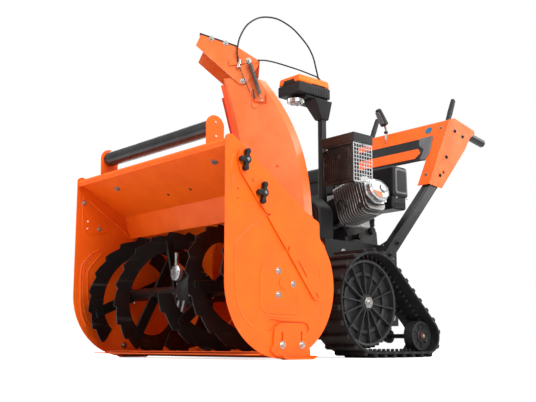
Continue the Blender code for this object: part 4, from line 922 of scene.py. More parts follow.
def alongBelt(offset, count):
    # evenly spaced places on the belt, with the direction it runs in there
    line = [Vector(p) for p in beltLine(offset)]
    spans = [(b - a).length for a, b in zip(line, line[1:] + line[:1])]
    found = []
    for i in range(count):
        left, k = sum(spans) * (i + 0.5) / count, 0
        while left > spans[k]:
            left -= spans[k]
            k += 1
        a, b = line[k], line[(k + 1) % len(line)]
        found.append((a.lerp(b, left / spans[k]), (b - a).normalized()))
    return found


def buildTrack(side, mirrored):
    piece = Piece("trackBelt_" + side, "trackRubber")
    wide, outer = track["wide"], track["outerX"]
    middle = outer - wide / 2
    piece.add(plate([beltLine(track["carcass"]), beltLine(0)], wide, "X", 0.0012), spot(middle, 0, 0))
    for at, run in alongBelt(track["carcass"], track["lugs"]):
        turn = Matrix.Rotation(atan2(run.y, run.x), 4, "X")
        foot, high = track["lugFoot"], track["lug"]
        place = spot(middle, at.x, at.y)
        # the line runs anticlockwise seen from +X, so outwards is on its right-hand side
        out = turn @ Vector((0, 0, -1))
        lug = block((wide - 0.006, foot * 0.92, high), 0.0026, 3, (0.985, 0.72))
        bmesh.ops.rotate(lug, cent=(0, 0, 0), matrix=Matrix.Rotation(pi, 3, "X"), verts=lug.verts)
        piece.add(lug, place + out * (high / 2 - 0.0006), turn)
        for x in (-1, 1):
            bar = block((0.024, foot * 0.52, 0.004), 0.0012, 2, (0.9, 0.8))
            bmesh.ops.rotate(bar, cent=(0, 0, 0), matrix=Matrix.Rotation(pi, 3, "X"), verts=bar.verts)
            piece.add(bar, place + Vector((x * 0.04, 0, 0)) + out * (high - 0.003), turn)
        # a pale wedge moulded under each lug, showing on the belt's outer edge
        piece.add(block((0.003, 0.011, 0.0045), 0.001, 1), spot(outer - 0.0004, at.x, at.y) - out * 0.0045,
                  turn, skin="wedgeRubber")
    for at, run in alongBelt(0.0, track["innerLugs"]):
        turn = Matrix.Rotation(atan2(run.y, run.x), 4, "X")
        into = turn @ Vector((0, 0, 1))
        for x in (-0.032, 0.022):
            nib = block((0.012, 0.0085, 0.01), 0.002, 2, (0.8, 0.55))
            piece.add(nib, spot(middle + x, at.x, at.y) + into * 0.0045, turn, skin="wedgeRubber")
    piece.done("track_unit", ["track_" + side], mirrored)


def buildWheel(side, mirrored):
    piece = Piece("driveWheel_" + side, "wheelPlastic")
    at = spot(track["wheelX"], *track["axle"])
    r = wheel["radius"]
    rim = [(r - 0.0075, -0.015), (r - 0.001, -0.015), (r, -0.014), (r, 0.014), (r - 0.001, 0.015),
           (r - 0.004, 0.015), (r - 0.0065, 0.0135), (r - 0.0085, 0.0135), (r - 0.0085, -0.014)]
    piece.add(lathe(rim, "X", 84, True), at)
    web = [(0.024, -0.01), (r - 0.008, -0.01), (r - 0.008, -0.007), (0.024, -0.006)]
    piece.add(lathe(web, "X", 84, True), at)
    piece.add(lathe([(0.088, -0.008), (0.1, -0.008), (0.1, 0.001), (0.0985, 0.0022), (0.0895, 0.0022),
                     (0.088, 0.001)], "X", 84, True), at)
    hub = [(0.0131, -0.015), (0.03, -0.015), (0.03, 0.003), (0.027, 0.009), (0.025, 0.0125), (0.0236, 0.014),
           (0.0131, 0.014)]
    piece.add(lathe(hub, "X", 56, True), at)
    length = r - 0.0075 - wheel["hub"]
    for i in range(wheel["spokes"]):
        turn = turnBy(360 / wheel["spokes"] * i + 6, "X")
        rib = block((0.0215, 0.0044, length), 0.0011, 2)
        piece.add(rib, at + turn @ Vector((0.0005, 0, wheel["hub"] + length / 2)), turn)
    for i in range(wheel["teeth"]):
        turn = turnBy(360 / wheel["teeth"] * (i + 0.5), "X")
        tooth = block((0.026, 0.006, 0.009), 0.0018, 2, (0.9, 0.7))
        piece.add(tooth, at + turn @ Vector((0, 0, r + 0.003)), turn)
    piece.done("drive_unit", ["drive_wheel_" + side], mirrored)
    cap = Piece("wheelBolt_" + side, "zincSteel")
    cap.add(barrel(0.0205, 0.005, "X", 6, edge=0.0009, steps=1), at + Vector((0.0168, 0, 0)))
    cap.add(barrel(0.015, 0.004, "X", 36, edge=0.0008), at + Vector((0.0205, 0, 0)))
    cap.add(barrel(0.0088, 0.0065, "X", 6, edge=0.0009, steps=1), at + Vector((0.025, 0, 0)))
    cap.add(barrel(0.012, 0.018, "X", 24), at + Vector((0.006, 0, 0)))
    cap.done("drive_unit", (), mirrored)


def buildIdler(side, mirrored):
    piece = Piece("rearIdler_" + side, "wheelPlastic")
    at = spot(track["wheelX"], *track["idler"])
    dish = [(0.0087, -0.02), (0.048, -0.02), (0.0518, -0.0185), (0.052, -0.0165), (0.052, 0.0165),
            (0.0505, 0.019), (0.047, 0.02), (0.043, 0.019), (0.0405, 0.012), (0.037, 0.0095), (0.024, 0.0095),
            (0.0215, 0.011), (0.02, 0.017), (0.018, 0.0185), (0.0087, 0.0185)]
    piece.add(lathe(dish, "X", 64, True), at)
    for i in range(8):
        turn = turnBy(45 * i + 10, "X")
        piece.add(block((0.007, 0.004, 0.023), 0.001, 2), at + turn @ Vector((0.0105, 0, 0.0305)), turn)
    piece.done("idler_%s_unit" % side, ["rear_idler_" + side], mirrored)
    cap = Piece("idlerPin_" + side, "brownPin")
    cap.add(lathe([(0, 0.026), (0.007, 0.026), (0.0105, 0.0245), (0.0115, 0.0225), (0.0115, 0.0195),
                   (0, 0.0195)], "X", 32), at)
    cap.add(barrel(0.0062, 0.004, "X", 6, edge=0.0007, steps=1), at + Vector((0.0268, 0, 0)),
            skin="zincSteel")
    cap.done("track_unit", (), mirrored)


for side, mirrored in sides:
    buildTrack(side, mirrored)
    buildWheel(side, mirrored)
    buildIdler(side, mirrored)
print("tracks laid")

# control head, gear and cables
chuteAxis = {"x": 0.02, "y": 0.523, "heading": 40.0, "pivot": (0.1, 0.952)}


chuteSwing = turnBy(-chuteAxis["heading"], "Z")


def chuteSpot(ahead, aside, z):
    turned = chuteSwing @ Vector((aside, -ahead, 0))
    return spot(chuteAxis["x"] + turned.x, chuteAxis["y"] + turned.y, z)


def buildHead():
    head = Piece("controlHeadCase", "blackPlastic")
    low, top, middle, (wide, deep, high) = boxOf("control_head")
    z0, middle.z = low.z, 0
    body = block((wide, deep, high - 0.01), 0.006, 3)
    head.add(body, middle + Vector((0, 0, z0 + 0.01 + (high - 0.01) / 2)))
    head.add(block((wide - 0.016, deep - 0.05, 0.016), 0.004, 2), middle + Vector((0, 0.017, z0 + 0.008)))
    for i in range(5):
        rib = block((0.003, deep * 0.42, 0.008), 0.0012, 1)
        head.add(rib, middle + Vector(((i - 2) * 0.02, 0.03, z0 + 0.006)))
    for i in range(6):
        slat = block((0.003, 0.005, 0.026), 0.0012, 1)
        head.add(slat, Vector((top.x - 0.0006, low.y + 0.06 + i * 0.014, z0 + high / 2 + 0.002)))
    # neck over the post
    post = spot(0.036, 0.77, 0)
    neck = block((0.036, 0.04, 0.072), 0.005, 2, (1.9, 2.4))
    bmesh.ops.translate(neck, vec=(0, -0.02, 0), verts=[v for v in neck.verts if v.co.z > 0.02])
    head.add(neck, post + Vector((0, -0.002, z0 - 0.036)))
    head.done("root", ["control_head"])

    cap = Piece("controlHeadCap", "blackPlastic")
    low, top, middle, size = boxOf("control_head_cap")
    cap.add(block(size, 0.0075, 4, (0.93, 0.95)), middle, skin="orangeCapAndLipHighlight")
    dark = roundedLine([(-0.034, -0.01), (0.034, -0.01), (0.026, 0.005), (-0.026, 0.005)], 0.003, 3)
    cap.add(plate([dark], 0.004, "Y", 0.0008), (middle.x, low.y + 0.003, low.z + 0.011), turnBy(-4, "X"))
    notch = roundedLine([(-0.036, -0.01), (0.036, -0.01), (0.03, 0.004), (-0.03, 0.004)], 0.003, 3)
    cap.add(plate([notch], 0.004, "X", 0.0008), (top.x - 0.004, low.y + 0.105, low.z + 0.011),
            turnBy(-4, "Y"))
    for x in (0.02, 0.034):
        # rubber boots where the cables go in
        cap.add(lathe([(0.0034, 0), (0.0068, 0), (0.0062, 0.006), (0.0052, 0.009), (0.0036, 0.009)], "Z", 24,
                      True), spot(x, 0.773, top.z - 0.0035))
    cap.done("root", ["control_head_cap"])

    gear = Piece("chuteGearWheel", "zincSteel")
    low, top, centre, size = boxOf("chute_gear")
    teeth, outline = 20, []
    for i in range(teeth):
        for share, radius in ((0.0, 0.87), (0.22, 1.0), (0.5, 1.0), (0.72, 0.87)):
            a = 2 * pi * (i + share) / teeth
            outline.append((size.x / 2 * radius * cos(a), size.x / 2 * radius * sin(a)))
    gear.add(plate([outline], size.z, "Z", 0.0008), centre)
    gear.add(lathe([(0, -0.0135), (0.007, -0.0135), (0.01, -0.0115), (0.02, -0.011), (0.022, -0.007),
                    (0, -0.007)], "Z", 40), centre, skin="castAlloy")
    for x, y in circle(4, 20, 0.016):
        gear.bolt(centre + Vector((x, y, -0.0105)), (0, 0, -1), 0.0034, "zincSteel", False)
    gear.done("gear_unit", ["chute_gear"])


def buildCables():
    start = chuteSpot(0.118, 0.099, 1.02)
    arch = [(-0.004, 0.04), (0.016, 0.108), (0.066, 0.168), (0.146, 0.204), (0.23, 0.203), (0.308, 0.17),
            (0.366, 0.118), (0.391, 0.056)]
    end = Vector((start.x, spot(0, 0.773, 0).y, 1.0345))
    points = [start] + [start + Vector((0, back, up)) for back, up in arch] + [end]
    piece = Piece("deflectorCable", "cableSkin")
    piece.add(sweep(points, 0.0031, True, 14, 3))
    made = piece.done(None, ["deflector_cable"])
    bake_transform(made)
    low = chuteSpot(0.048, 0.107, 1.022)
    shift = start.x - 0.02
    second = [low, spot(0.046 + shift, 0, 1.043), spot(0.04 + shift, 0, 1.0485),
              spot(0.034 + shift, 0.713, 1.047), spot(0.034 + shift, 0.757, 1.0415),
              spot(0.034 + shift, 0.767, 1.0345)]
    second[1].y, second[2].y = low.y + 0.07, low.y + 0.17
    piece = Piece("chuteCable", "cableSkin")
    piece.add(sweep(second, 0.0027, True, 14, 3))
    made = piece.done(None, ["chute_cable"])
    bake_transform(made)


def buildChuteTrim():
    # the trim's usual finish is the darker red orange copy, painted shade on the strips and on the spring's
    # anchor loop
    piece = Piece("chuteTrim", "orangePaintedShade")
    swing = chuteSwing

    def front(z):
        return 0.085 + 0.075 * max(0.0, (z - 0.6) / 0.362) ** 1.25

    levels = [0.575 + (0.94 - 0.575) * i / 14 for i in range(15)]
    # the folded strip along the chute's front edge, near and far, in a darker red orange that paints the
    # shade where the chute's rounded corner turns away from the light
    for aside in (0.0745, -0.0745):
        outline = [(-front(z) - 0.0245, z)
                   for z in levels] + [(-front(z) - 0.0045, z) for z in reversed(levels)]
        strip = plate([roundedLine(outline, 0.006, 3)], 0.003, "X", 0.0008)
        piece.add(strip, chuteSpot(0, aside, 0), swing)
    # hinge bolts of the deflector, the spring's anchors and the cable's clamp on the near side
    pa, pz = chuteAxis["pivot"]
    near = tuple(swing @ Vector((1, 0, 0)))
    far = tuple(swing @ Vector((-1, 0, 0)))
    piece.bolt(chuteSpot(pa, 0.09, pz), near, 0.0062)
    piece.bolt(chuteSpot(pa, -0.09, pz), far, 0.0062)
    piece.add(sweep([chuteSpot(0.066, 0.088, 0.905), chuteSpot(0.06, 0.0905, 0.876),
                     chuteSpot(0.018, 0.0905, 0.876), chuteSpot(0.02, 0.0905, 0.905)], 0.0026, False))
    piece.add(sweep([chuteSpot(0.034, 0.086, 0.877), chuteSpot(0.034, 0.105, 0.877)], 0.0026, False),
              skin="zincSteel")
    # the cable clamp plate in the chute's orange, with its painted grey reflection
    piece.add(plate([slotLine((-0.006, -0.02), (-0.006, 0.02), 0.012)], 0.0025, "X", 0.0006),
              chuteSpot(0.052, 0.0865, 0.885), swing, skin="orangeChutePaintedReflection")
    # upright guide rod and the tube stops along the chute's side
    piece.add(sweep([chuteSpot(0.066, 0.0995, 0.918), chuteSpot(0.058, 0.0995, 0.884)], 0.0024, False),
              skin="darkCasting")
    for z in (0.585, 0.65):
        piece.rivet(chuteSpot(-0.02, 0.086, z), near, 0.0048, "orangePowder")
    # turntable screws on the flange
    for ahead, aside in circle(6, 8, 0.138):
        piece.bolt(chuteSpot(ahead, aside, 0.482), (0, 0, 1), 0.0052)
    piece.add(lathe([(0.1435, -0.003), (0.149, -0.003), (0.1498, 0.0), (0.149, 0.0032), (0.1435, 0.0032)],
                    "Z", 96, True), chuteSpot(0, 0, 0.4785), skin="orangePowder")
    piece.done("chute_unit")

    flap = Piece("deflectorTrim", "zincSteel")
    tilt = swing @ Matrix.Rotation(-atan2(0.046, 0.133), 4, "X")
    middle = chuteSpot(pa + 0.087, 0.076, pz + 0.15)
    flap.add(block((0.024, 0.142, 0.007), 0.0016, 2), middle, tilt, skin="blackPlastic")
    for ahead, high in ((0.062, 0.1375), (0.112, 0.1548)):
        flap.bolt(chuteSpot(pa + ahead, 0.0905, pz + high), near, 0.0056)
    hook = chuteSpot(pa - 0.018, 0.09, pz + 0.0735)
    flap.bolt(hook, near, 0.0066)
    flap.add(sweep([hook - Vector(near) * 0.002, chuteSpot(pa - 0.018, 0.105, pz + 0.074)], 0.0026, False))
    # bracket, in the chute's orange with its painted grey reflection, and threaded end of the deflector cable
    bracket = roundedLine([(-0.15, 0.0), (-0.092, 0.01), (-0.088, 0.026), (-0.1, 0.032), (-0.152, 0.022)],
                          0.005, 3)
    flap.add(plate([[(y, z + 1.005) for y, z in bracket]], 0.0025, "X", 0.0006), chuteSpot(0, 0.0935, 0),
             swing, skin="orangeChutePaintedReflection")
    flap.add(barrel(0.0052, 0.028, "Z", 20, edge=0.0008), chuteSpot(0.114, 0.099, 1.01), tilt)
    for i in range(3):
        flap.add(barrel(0.0074, 0.005, "Z", 6, edge=0.0008, steps=1),
                 chuteSpot(0.114 - 0.001 * i, 0.099, 1.0 + 0.011 * i), tilt)
    flap.add(sweep([chuteSpot(0.1135, 0.099, 0.999), chuteSpot(0.098, 0.099, 0.962),
                    chuteSpot(0.076, 0.0985, 0.905)], 0.0014, False), skin="darkCasting")
    flap.done("deflector_unit")


def buildSpring():
    piece = Piece("deflectorReturnSpring", "darkSteel")
    pa, pz = chuteAxis["pivot"]
    top, low = chuteSpot(pa - 0.018, 0.103, pz + 0.074), chuteSpot(pa - 0.066, 0.103, pz - 0.075)
    run = low - top
    wide = run.normalized().orthogonal().normalized()
    other = run.normalized().cross(wide)
    turns, steps, points = 30, 10, [top]
    for i in range(turns * steps + 1):
        a = 2 * pi * i / steps
        points.append(top + run * (0.1 + 0.74 * i / (turns * steps))
                      + (wide * cos(a) + other * sin(a)) * 0.006)
    piece.add(sweep([*points, low], 0.0017, False, 1, 1))
    made = piece.done(None, ["deflector_spring"])
    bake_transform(made)


buildHead()
buildCables()
buildChuteTrim()
buildSpring()
print("chute dressed")

# engine
engine = {"tilt": 16.0, "cylinder": (0.0, 0.842, 0.52), "reach": 0.235, "fins": 13, "finStep": 0.0112}


cylinderTurn = turnBy(90 - engine["tilt"], "Y")


def cylinderSpot(aside, back, along):
    turned = cylinderTurn @ Vector((aside, back, along))
    x, y, z = engine["cylinder"]
    return spot(x + turned.x, y + turned.y, z + turned.z)


def buildEngineBlock():
    piece = Piece("engineCastings", "darkCasting")
    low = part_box("engine_block")[0][2]
    # sump and crankcase
    piece.add(block((0.226, 0.186, 0.075), 0.012, 3, (0.97, 0.97)), spot(-0.02, 0.925, low + 0.038))
    piece.add(block((0.19, 0.178, 0.14), 0.022, 4, (0.86, 0.92)), spot(-0.026, 0.925, low + 0.138),
              skin="castAlloy")
    piece.add(lathe([(0, -0.006), (0.062, -0.006), (0.07, 0.0), (0.07, 0.008), (0.06, 0.014), (0.024, 0.018),
                     (0.015, 0.018), (0.015, 0.0)], "Y", 56), spot(0, 0.842, 0.52), skin="castAlloy")
    for x, z in circle(8, 22, 0.066):
        piece.bolt(spot(x, 0.8365, 0.52 + z), (0, -1, 0), 0.0048)
    for x in (-0.105, 0.072):
        for y in (0.852, 0.998):
            piece.bolt(spot(x, y, low + 0.076), (0, 0, 1), 0.0062)
    # drain pipe and oil filler on the near side
    piece.add(lathe([(0, 0), (0.0095, 0), (0.0095, 0.03), (0.0125, 0.03), (0.0125, 0.04), (0, 0.04)], "X",
                    24), spot(0.088, 0.875, 0.437))
    piece.add(lathe([(0, 0), (0.015, 0), (0.015, 0.012), (0.011, 0.016), (0, 0.016)], "X", 24),
              spot(0.088, 0.975, 0.47), skin="blackPlastic")
    # barrel with its stack of rounded fins
    turn = cylinderTurn
    piece.add(block((0.088, 0.094, engine["reach"] - 0.001), 0.01, 3),
              cylinderSpot(0, 0, engine["reach"] / 2), turn)
    for i in range(engine["fins"]):
        along = engine["reach"] - 0.01 - engine["finStep"] * i
        wide, deep = (0.074, 0.057) if i > 1 else (0.064, 0.052)
        outline = roundedLine(rectangle(wide, deep), 0.03, 6)
        piece.add(plate([outline], 0.003, "Z", 0.0008), cylinderSpot(0, 0, along), turn, skin="finAlloy")
    # spark plug and its cap
    piece.add(barrel(0.009, 0.036, "Z", 20, edge=0.002), cylinderSpot(0.046, -0.05, 0.2),
              turn @ turnBy(62, "X"), skin="blackPlastic")
    piece.done("root", ["engine_block"])


def buildValveCover():
    piece = Piece("valveCoverPressed", "silverPaint")
    turn = cylinderTurn
    base = engine["reach"] + 0.0003
    octagon = circle(8, 22.5, 0.0515, 0.0615)
    inner = [(x * 0.86, y * 0.88) for x, y in octagon]
    small = [(x * 0.7, y * 0.74) for x, y in octagon]
    rim = roundedLine(octagon, 0.006, 3)
    piece.add(plate([rim], 0.008, "Z", 0.0015), cylinderSpot(0, 0, base + 0.004), turn)
    piece.add(plate([roundedLine(inner, 0.007, 3)], 0.022, "Z", 0.005), cylinderSpot(0, 0, base + 0.016),
              turn)
    ring = [(*point, 0) for point in roundedLine(small, 0.008, 4)]
    ring.append(ring[0])
    piece.add(sweep(ring, 0.0024, False), cylinderSpot(0, 0, base + 0.0272), turn)
    # an irregular orange patch at one side of the cover's face, a painted reflection
    patch = roundedLine([(0.005, -0.04), (0.032, -0.03), (0.034, 0.002), (0.012, 0.006)], 0.003, 3)
    piece.add(plate([patch], 0.001, "Z", 0.0003), cylinderSpot(0, 0, base + 0.0276), turn, skin="orangeReflectionPatch")
    piece.add(lathe([(0, 0.0005), (0.015, 0.0005), (0.0165, 0.002), (0.0165, 0.0045), (0.014, 0.006),
                     (0.01, 0.0048), (0, 0.0048)], "Z", 36), cylinderSpot(-0.006, 0.02, base + 0.0268), turn)
    for aside, back in circle(4, 45, 0.0455, 0.052):
        piece.bolt(cylinderSpot(aside, back, base + 0.0075), tuple(turn @ Vector((0, 0, 1))), 0.004)
    piece.done("root", ["valve_cover"], sharp=18)


muffler = {"middle": (0.185, 0.724, 0.672), "high": 0.142, "bar": 0.0026, "rows": 10,
           "side": (0.1, 7), "front": (0.136, 14)}


def punchedSheet(wide, columns, axis):
    # a sheet with rows of square windows
    high, rows, bar = muffler["high"], muffler["rows"], muffler["bar"]
    stepU, stepV = (wide - 0.006) / columns, (high - 0.01) / rows
    holes = []
    for i in range(columns):
        for j in range(rows):
            u, v = -wide / 2 + 0.003 + stepU * (i + 0.5), -high / 2 + 0.005 + stepV * (j + 0.5)
            holes.append([(u + a, v + b) for a, b in rectangle((stepU - bar) / 2, (stepV - bar) / 2)])
    return plate([roundedLine(rectangle(wide / 2, high / 2), 0.003, 2), *holes], 0.0016, axis, 0.0003)


def buildMuffler():
    piece = Piece("mufflerGuarded", "muffSteel")
    centre = spot(*muffler["middle"])
    piece.add(block((0.12, 0.066, 0.125), 0.014, 4), centre + Vector((-0.01, 0.002, 0.002)))
    for i in range(9):
        # pressed ribs of the hot side's heat shield
        rib = block((0.0046, 0.07, 0.112), 0.002, 2)
        piece.add(rib, centre + Vector((-0.064 + i * 0.0105, 0, 0)))
    # guards with rows of punched windows on the near face and the front
    piece.add(punchedSheet(*muffler["side"], "X"), centre + Vector((0.0735, 0.02, 0)), skin="silverPaint")
    piece.add(punchedSheet(*muffler["front"], "Y"), centre + Vector((0.0045, -0.034, 0)))
    # shallow tray that shields the top
    tray = centre + Vector((0, 0.017, 0.088))
    piece.add(block((0.158, 0.1, 0.006), 0.002, 2), tray + Vector((0, 0, -0.0135)), skin="blackPaint")
    for aside, back, size in ((0, -0.0495, (0.16, 0.003, 0.032)), (0, 0.0495, (0.16, 0.003, 0.032)),
                              (0.079, 0, (0.003, 0.1, 0.032)), (-0.079, 0, (0.003, 0.1, 0.032))):
        piece.add(block(size, 0.001, 2), tray + Vector((aside, back, 0)), skin="blackPaint")
    piece.add(lathe([(0.013, 0), (0.015, 0), (0.015, 0.028), (0.013, 0.028)], "Y", 28, True),
              centre + Vector((-0.052, -0.04, 0.04)))
    for z in (-0.066, 0.066):
        piece.bolt(centre + Vector((0.0745, 0.02, z)), (1, 0, 0), 0.0036, "zincSteel", False)
    piece.done("root", ["muffler"])


def buildTank():
    piece = Piece("fuelTankShell", "blackPaint")
    low, top, centre, (wide, deep, high) = boxOf("fuel_tank")
    size, centre.z = (wide - 0.002, deep - 0.002), 0
    piece.add(block((*size, high * 0.55), 0.016, 4, (0.98, 0.98)),
              centre + Vector((0, 0, low.z + high * 0.275)))
    piece.add(block((*size, high * 0.52), 0.02, 5, (0.88, 0.88)),
              centre + Vector((0, 0, top.z - high * 0.26)))
    seam = roundedLine(rectangle(size[0] / 2, size[1] / 2), 0.02, 6)
    piece.add(plate([seam], 0.004, "Z", 0.001), centre + Vector((0, 0, low.z + high * 0.52)))
    low, top, middle, (wide, deep, high) = boxOf("fuel_cap")
    piece.add(lathe([(0.015, -0.006), (0.031, -0.006), (0.033, -0.003), (0.03, -0.0003), (0.015, -0.0003)],
                    "Z", 48, True), (middle.x, middle.y, low.z))
    piece.done("root", ["fuel_tank"])
    piece = Piece("fuelCapRibbed", "blackPlastic")
    piece.add(lathe([(0, -high / 2), (0.0255, -high / 2), (0.0262, -high / 2 + 0.001),
                     (0.0262, high / 2 - 0.003), (0.0235, high / 2), (0.012, high / 2),
                     (0.011, high / 2 - 0.0012), (0, high / 2 - 0.0012)], "Z", 60), middle)
    for i in range(20):
        turn = turnBy(18 * i, "Z")
        piece.add(block((0.003, 0.0042, high * 0.78), 0.001, 2), middle + turn @ Vector((0.0264, 0, -0.001)),
                  turn)
    piece.add(block((0.04, 0.0062, 0.005), 0.0016, 2), middle + Vector((0, 0, high / 2 - 0.0026)))
    piece.done("cap_unit", ["fuel_cap"])


def buildAirBox():
    piece = Piece("airBoxHousing", "blackPlastic")
    low, top, (cx, cy, cz), (wide, deep, high) = boxOf("air_box")
    x1 = top.x
    piece.add(block((wide - 0.004, deep - 0.002, high * 0.72), 0.012, 4, (0.985, 0.94)),
              (cx - 0.002, cy, top.z - high * 0.36))
    piece.add(block((wide - 0.014, deep - 0.01, high * 0.36), 0.01, 4), (cx - 0.006, cy, low.z + high * 0.18))
    panel = roundedLine([(-0.034, -0.044), (0.034, -0.044), (0.033, 0.05), (-0.033, 0.05)], 0.01, 5)
    piece.add(plate([panel], 0.005, "X", 0.0018), (x1 - 0.0042, cy, cz + 0.02), skin="greyPlastic")
    inner = roundedLine([(-0.027, -0.037), (0.027, -0.037), (0.026, 0.043), (-0.026, 0.043)], 0.008, 5)
    piece.add(plate([inner], 0.0044, "X", 0.0014), (x1 - 0.003, cy, cz + 0.02))
    for z in (-0.058, -0.066, -0.074):
        piece.add(block((0.003, 0.06, 0.0034), 0.001, 1), (x1 - 0.0115, cy, cz + z))
    for y in (-0.03, 0.03):
        piece.bolt((x1 - 0.006, cy + y, cz - 0.04), (1, 0, 0), 0.0036, "zincSteel", False)
    piece.done("root", ["air_box"])


def buildRecoil():
    piece = Piece("recoilHousing", "blackPlastic")
    low, top, at, size = boxOf("recoil_cover")
    at.y = low.y
    shell = [(0, 0.0395), (0.028, 0.0395), (0.031, 0.0375), (0.034, 0.032), (0.066, 0.032), (0.074, 0.028),
             (0.079, 0.018), (0.086, 0.012), (0.09, 0.004), (0.09, 0.0), (0, 0.0)]
    piece.add(lathe([(r, -y) for r, y in shell], "Y", 72), at)
    for i in range(18):
        turn = turnBy(20 * i, "Y")
        piece.add(block((0.0045, 0.006, 0.03), 0.0018, 2), at + turn @ Vector((0, 0.032, 0.05)), turn,
                  skin="greyPlastic")
    for x, z in circle(4, 45, 0.083):
        piece.bolt(at + Vector((x, 0.013, z)), (0, 1, 0), 0.0042)
    piece.done("root", ["recoil_cover"])
    piece = Piece("recoilGrip", "blackPlastic")
    low, top, centre, size = boxOf("recoil_handle")
    centre.y, half = top.y - 0.011, size.x / 2
    piece.add(lathe([(0, -half), (0.007, -half), (0.0098, -half + 0.003), (0.0105, -half * 0.6), (0.0088, 0),
                     (0.0105, half * 0.6), (0.0098, half - 0.003), (0.007, half), (0, half)], "X", 36),
              centre)
    piece.add(barrel(0.0046, 0.02, "Y", 16, edge=0.001), centre - Vector((0, 0.012, 0)))
    piece.done("recoil_unit", ["recoil_handle"])


def buildBeltCover():
    piece = Piece("beltGuard", "blackPlastic")
    (x0, y0, z0), (x1, y1, z1), (cx, cy, cz), (wide, deep, high) = boxOf("belt_cover")
    outline = roundedLine([(x0, z0), (x1, z0), (x1, z1 - high * 0.3), (x1 - wide * 0.3, z1),
                           (x0 + wide * 0.3, z1), (x0, z1 - high * 0.3)], 0.02, 5)
    piece.add(plate([outline], deep, "Y", 0.006), (0, cy, 0))
    ring = [(cx + (x - cx) * 0.82, y0 + 0.0012, cz + (z - cz) * 0.82) for x, z in outline]
    piece.add(sweep([*ring, ring[0]], 0.003, False))
    for i in range(7):
        piece.add(block((wide * 0.44, 0.003, 0.005), 0.0012, 1), (cx, y0 - 0.0008, z0 + 0.045 + i * 0.012))
    for x, z in ((x0 + 0.016, z0 + 0.016), (x1 - 0.016, z0 + 0.016), (cx, z1 - 0.014)):
        piece.bolt((x, y0, z), (0, -1, 0), 0.0046)
    piece.done("root", ["belt_cover"])


buildEngineBlock()
buildValveCover()
buildMuffler()
buildTank()
buildAirBox()
buildRecoil()
buildBeltCover()
print("engine dressed")

# handles, console and levers
handle = {"x": 0.238, "foot": (0.8545, 0.33), "bend": (1.303, 0.8), "end": (1.527, 0.876), "drop": 9.0,
          "tube": (0.038, 0.045), "grip": 0.019}


def buildHandle(side, mirrored):
    piece = Piece("handleTube_" + side, "blackPaint")
    (fy, fz), (by, bz), (ey, ez) = handle["foot"], handle["bend"], handle["end"]
    run, lean = hypot(by - fy, bz - fz), degrees(atan2(bz - fz, by - fy))
    wide, deep = handle["tube"]
    piece.add(block((wide - 0.001, run - 0.001, deep - 0.001), 0.005, 4),
              spot(handle["x"], (fy + by) / 2, (fz + bz) / 2), turnBy(lean, "X"))
    tailY = by - 0.004
    tailZ = ez + (ey - tailY) * sin(radians(handle["drop"])) / cos(radians(handle["drop"]))
    riser = block((wide - 0.003, wide - 0.001, tailZ - bz + 0.018), 0.005, 3)
    piece.add(riser, spot(handle["x"], by - 0.004, (tailZ + bz) / 2 - 0.008))
    length = hypot(ey - tailY, tailZ - ez)
    turn = turnBy(-handle["drop"], "X")
    middle = spot(handle["x"], (ey + tailY) / 2, (ez + tailZ) / 2)
    piece.add(barrel(0.016, length - 0.004, "Y", 40, edge=0.001), middle, turn)
    # ribbed rubber grip on the rear end
    grip, r = [(0.015, length / 2 - 0.135), (0.0185, length / 2 - 0.134)], handle["grip"] - 0.0012
    for i in range(13):
        y = length / 2 - 0.128 + i * 0.009
        grip += [(r + 0.001, y), (r + 0.001, y + 0.0052), (r - 0.0008, y + 0.006), (r - 0.0008, y + 0.0082)]
    grip += [(r + 0.001, length / 2 - 0.01), (r + 0.0008, length / 2 - 0.004), (r - 0.004, length / 2),
             (0, length / 2)]
    piece.add(lathe([(rr, -y) for rr, y in grip], "Y", 40), middle, turn, skin="gripRubber")
    for share in (0.06, 0.16, 0.8):
        y, z = fy + (by - fy) * share, fz + (bz - fz) * share
        piece.bolt(spot(handle["x"] + wide / 2 - 0.0005, y, z), (1, 0, 0), 0.0066, "blackPaint")
    piece.done("root", ["handle_" + side], mirrored)


consoleTrim = {"low": (1.118, 0.648), "high": (1.264, 0.925)}


def onConsole(x, share, lift=0.0):
    # a place on the sloping front face, share 0 at its lower edge and 1 at the lid
    (ly, lz), (hy, hz) = consoleTrim["low"], consoleTrim["high"]
    out = Vector((0, -(hz - lz), hy - ly)).normalized() * lift
    return spot(x, ly + (hy - ly) * share, lz + (hz - lz) * share) + out


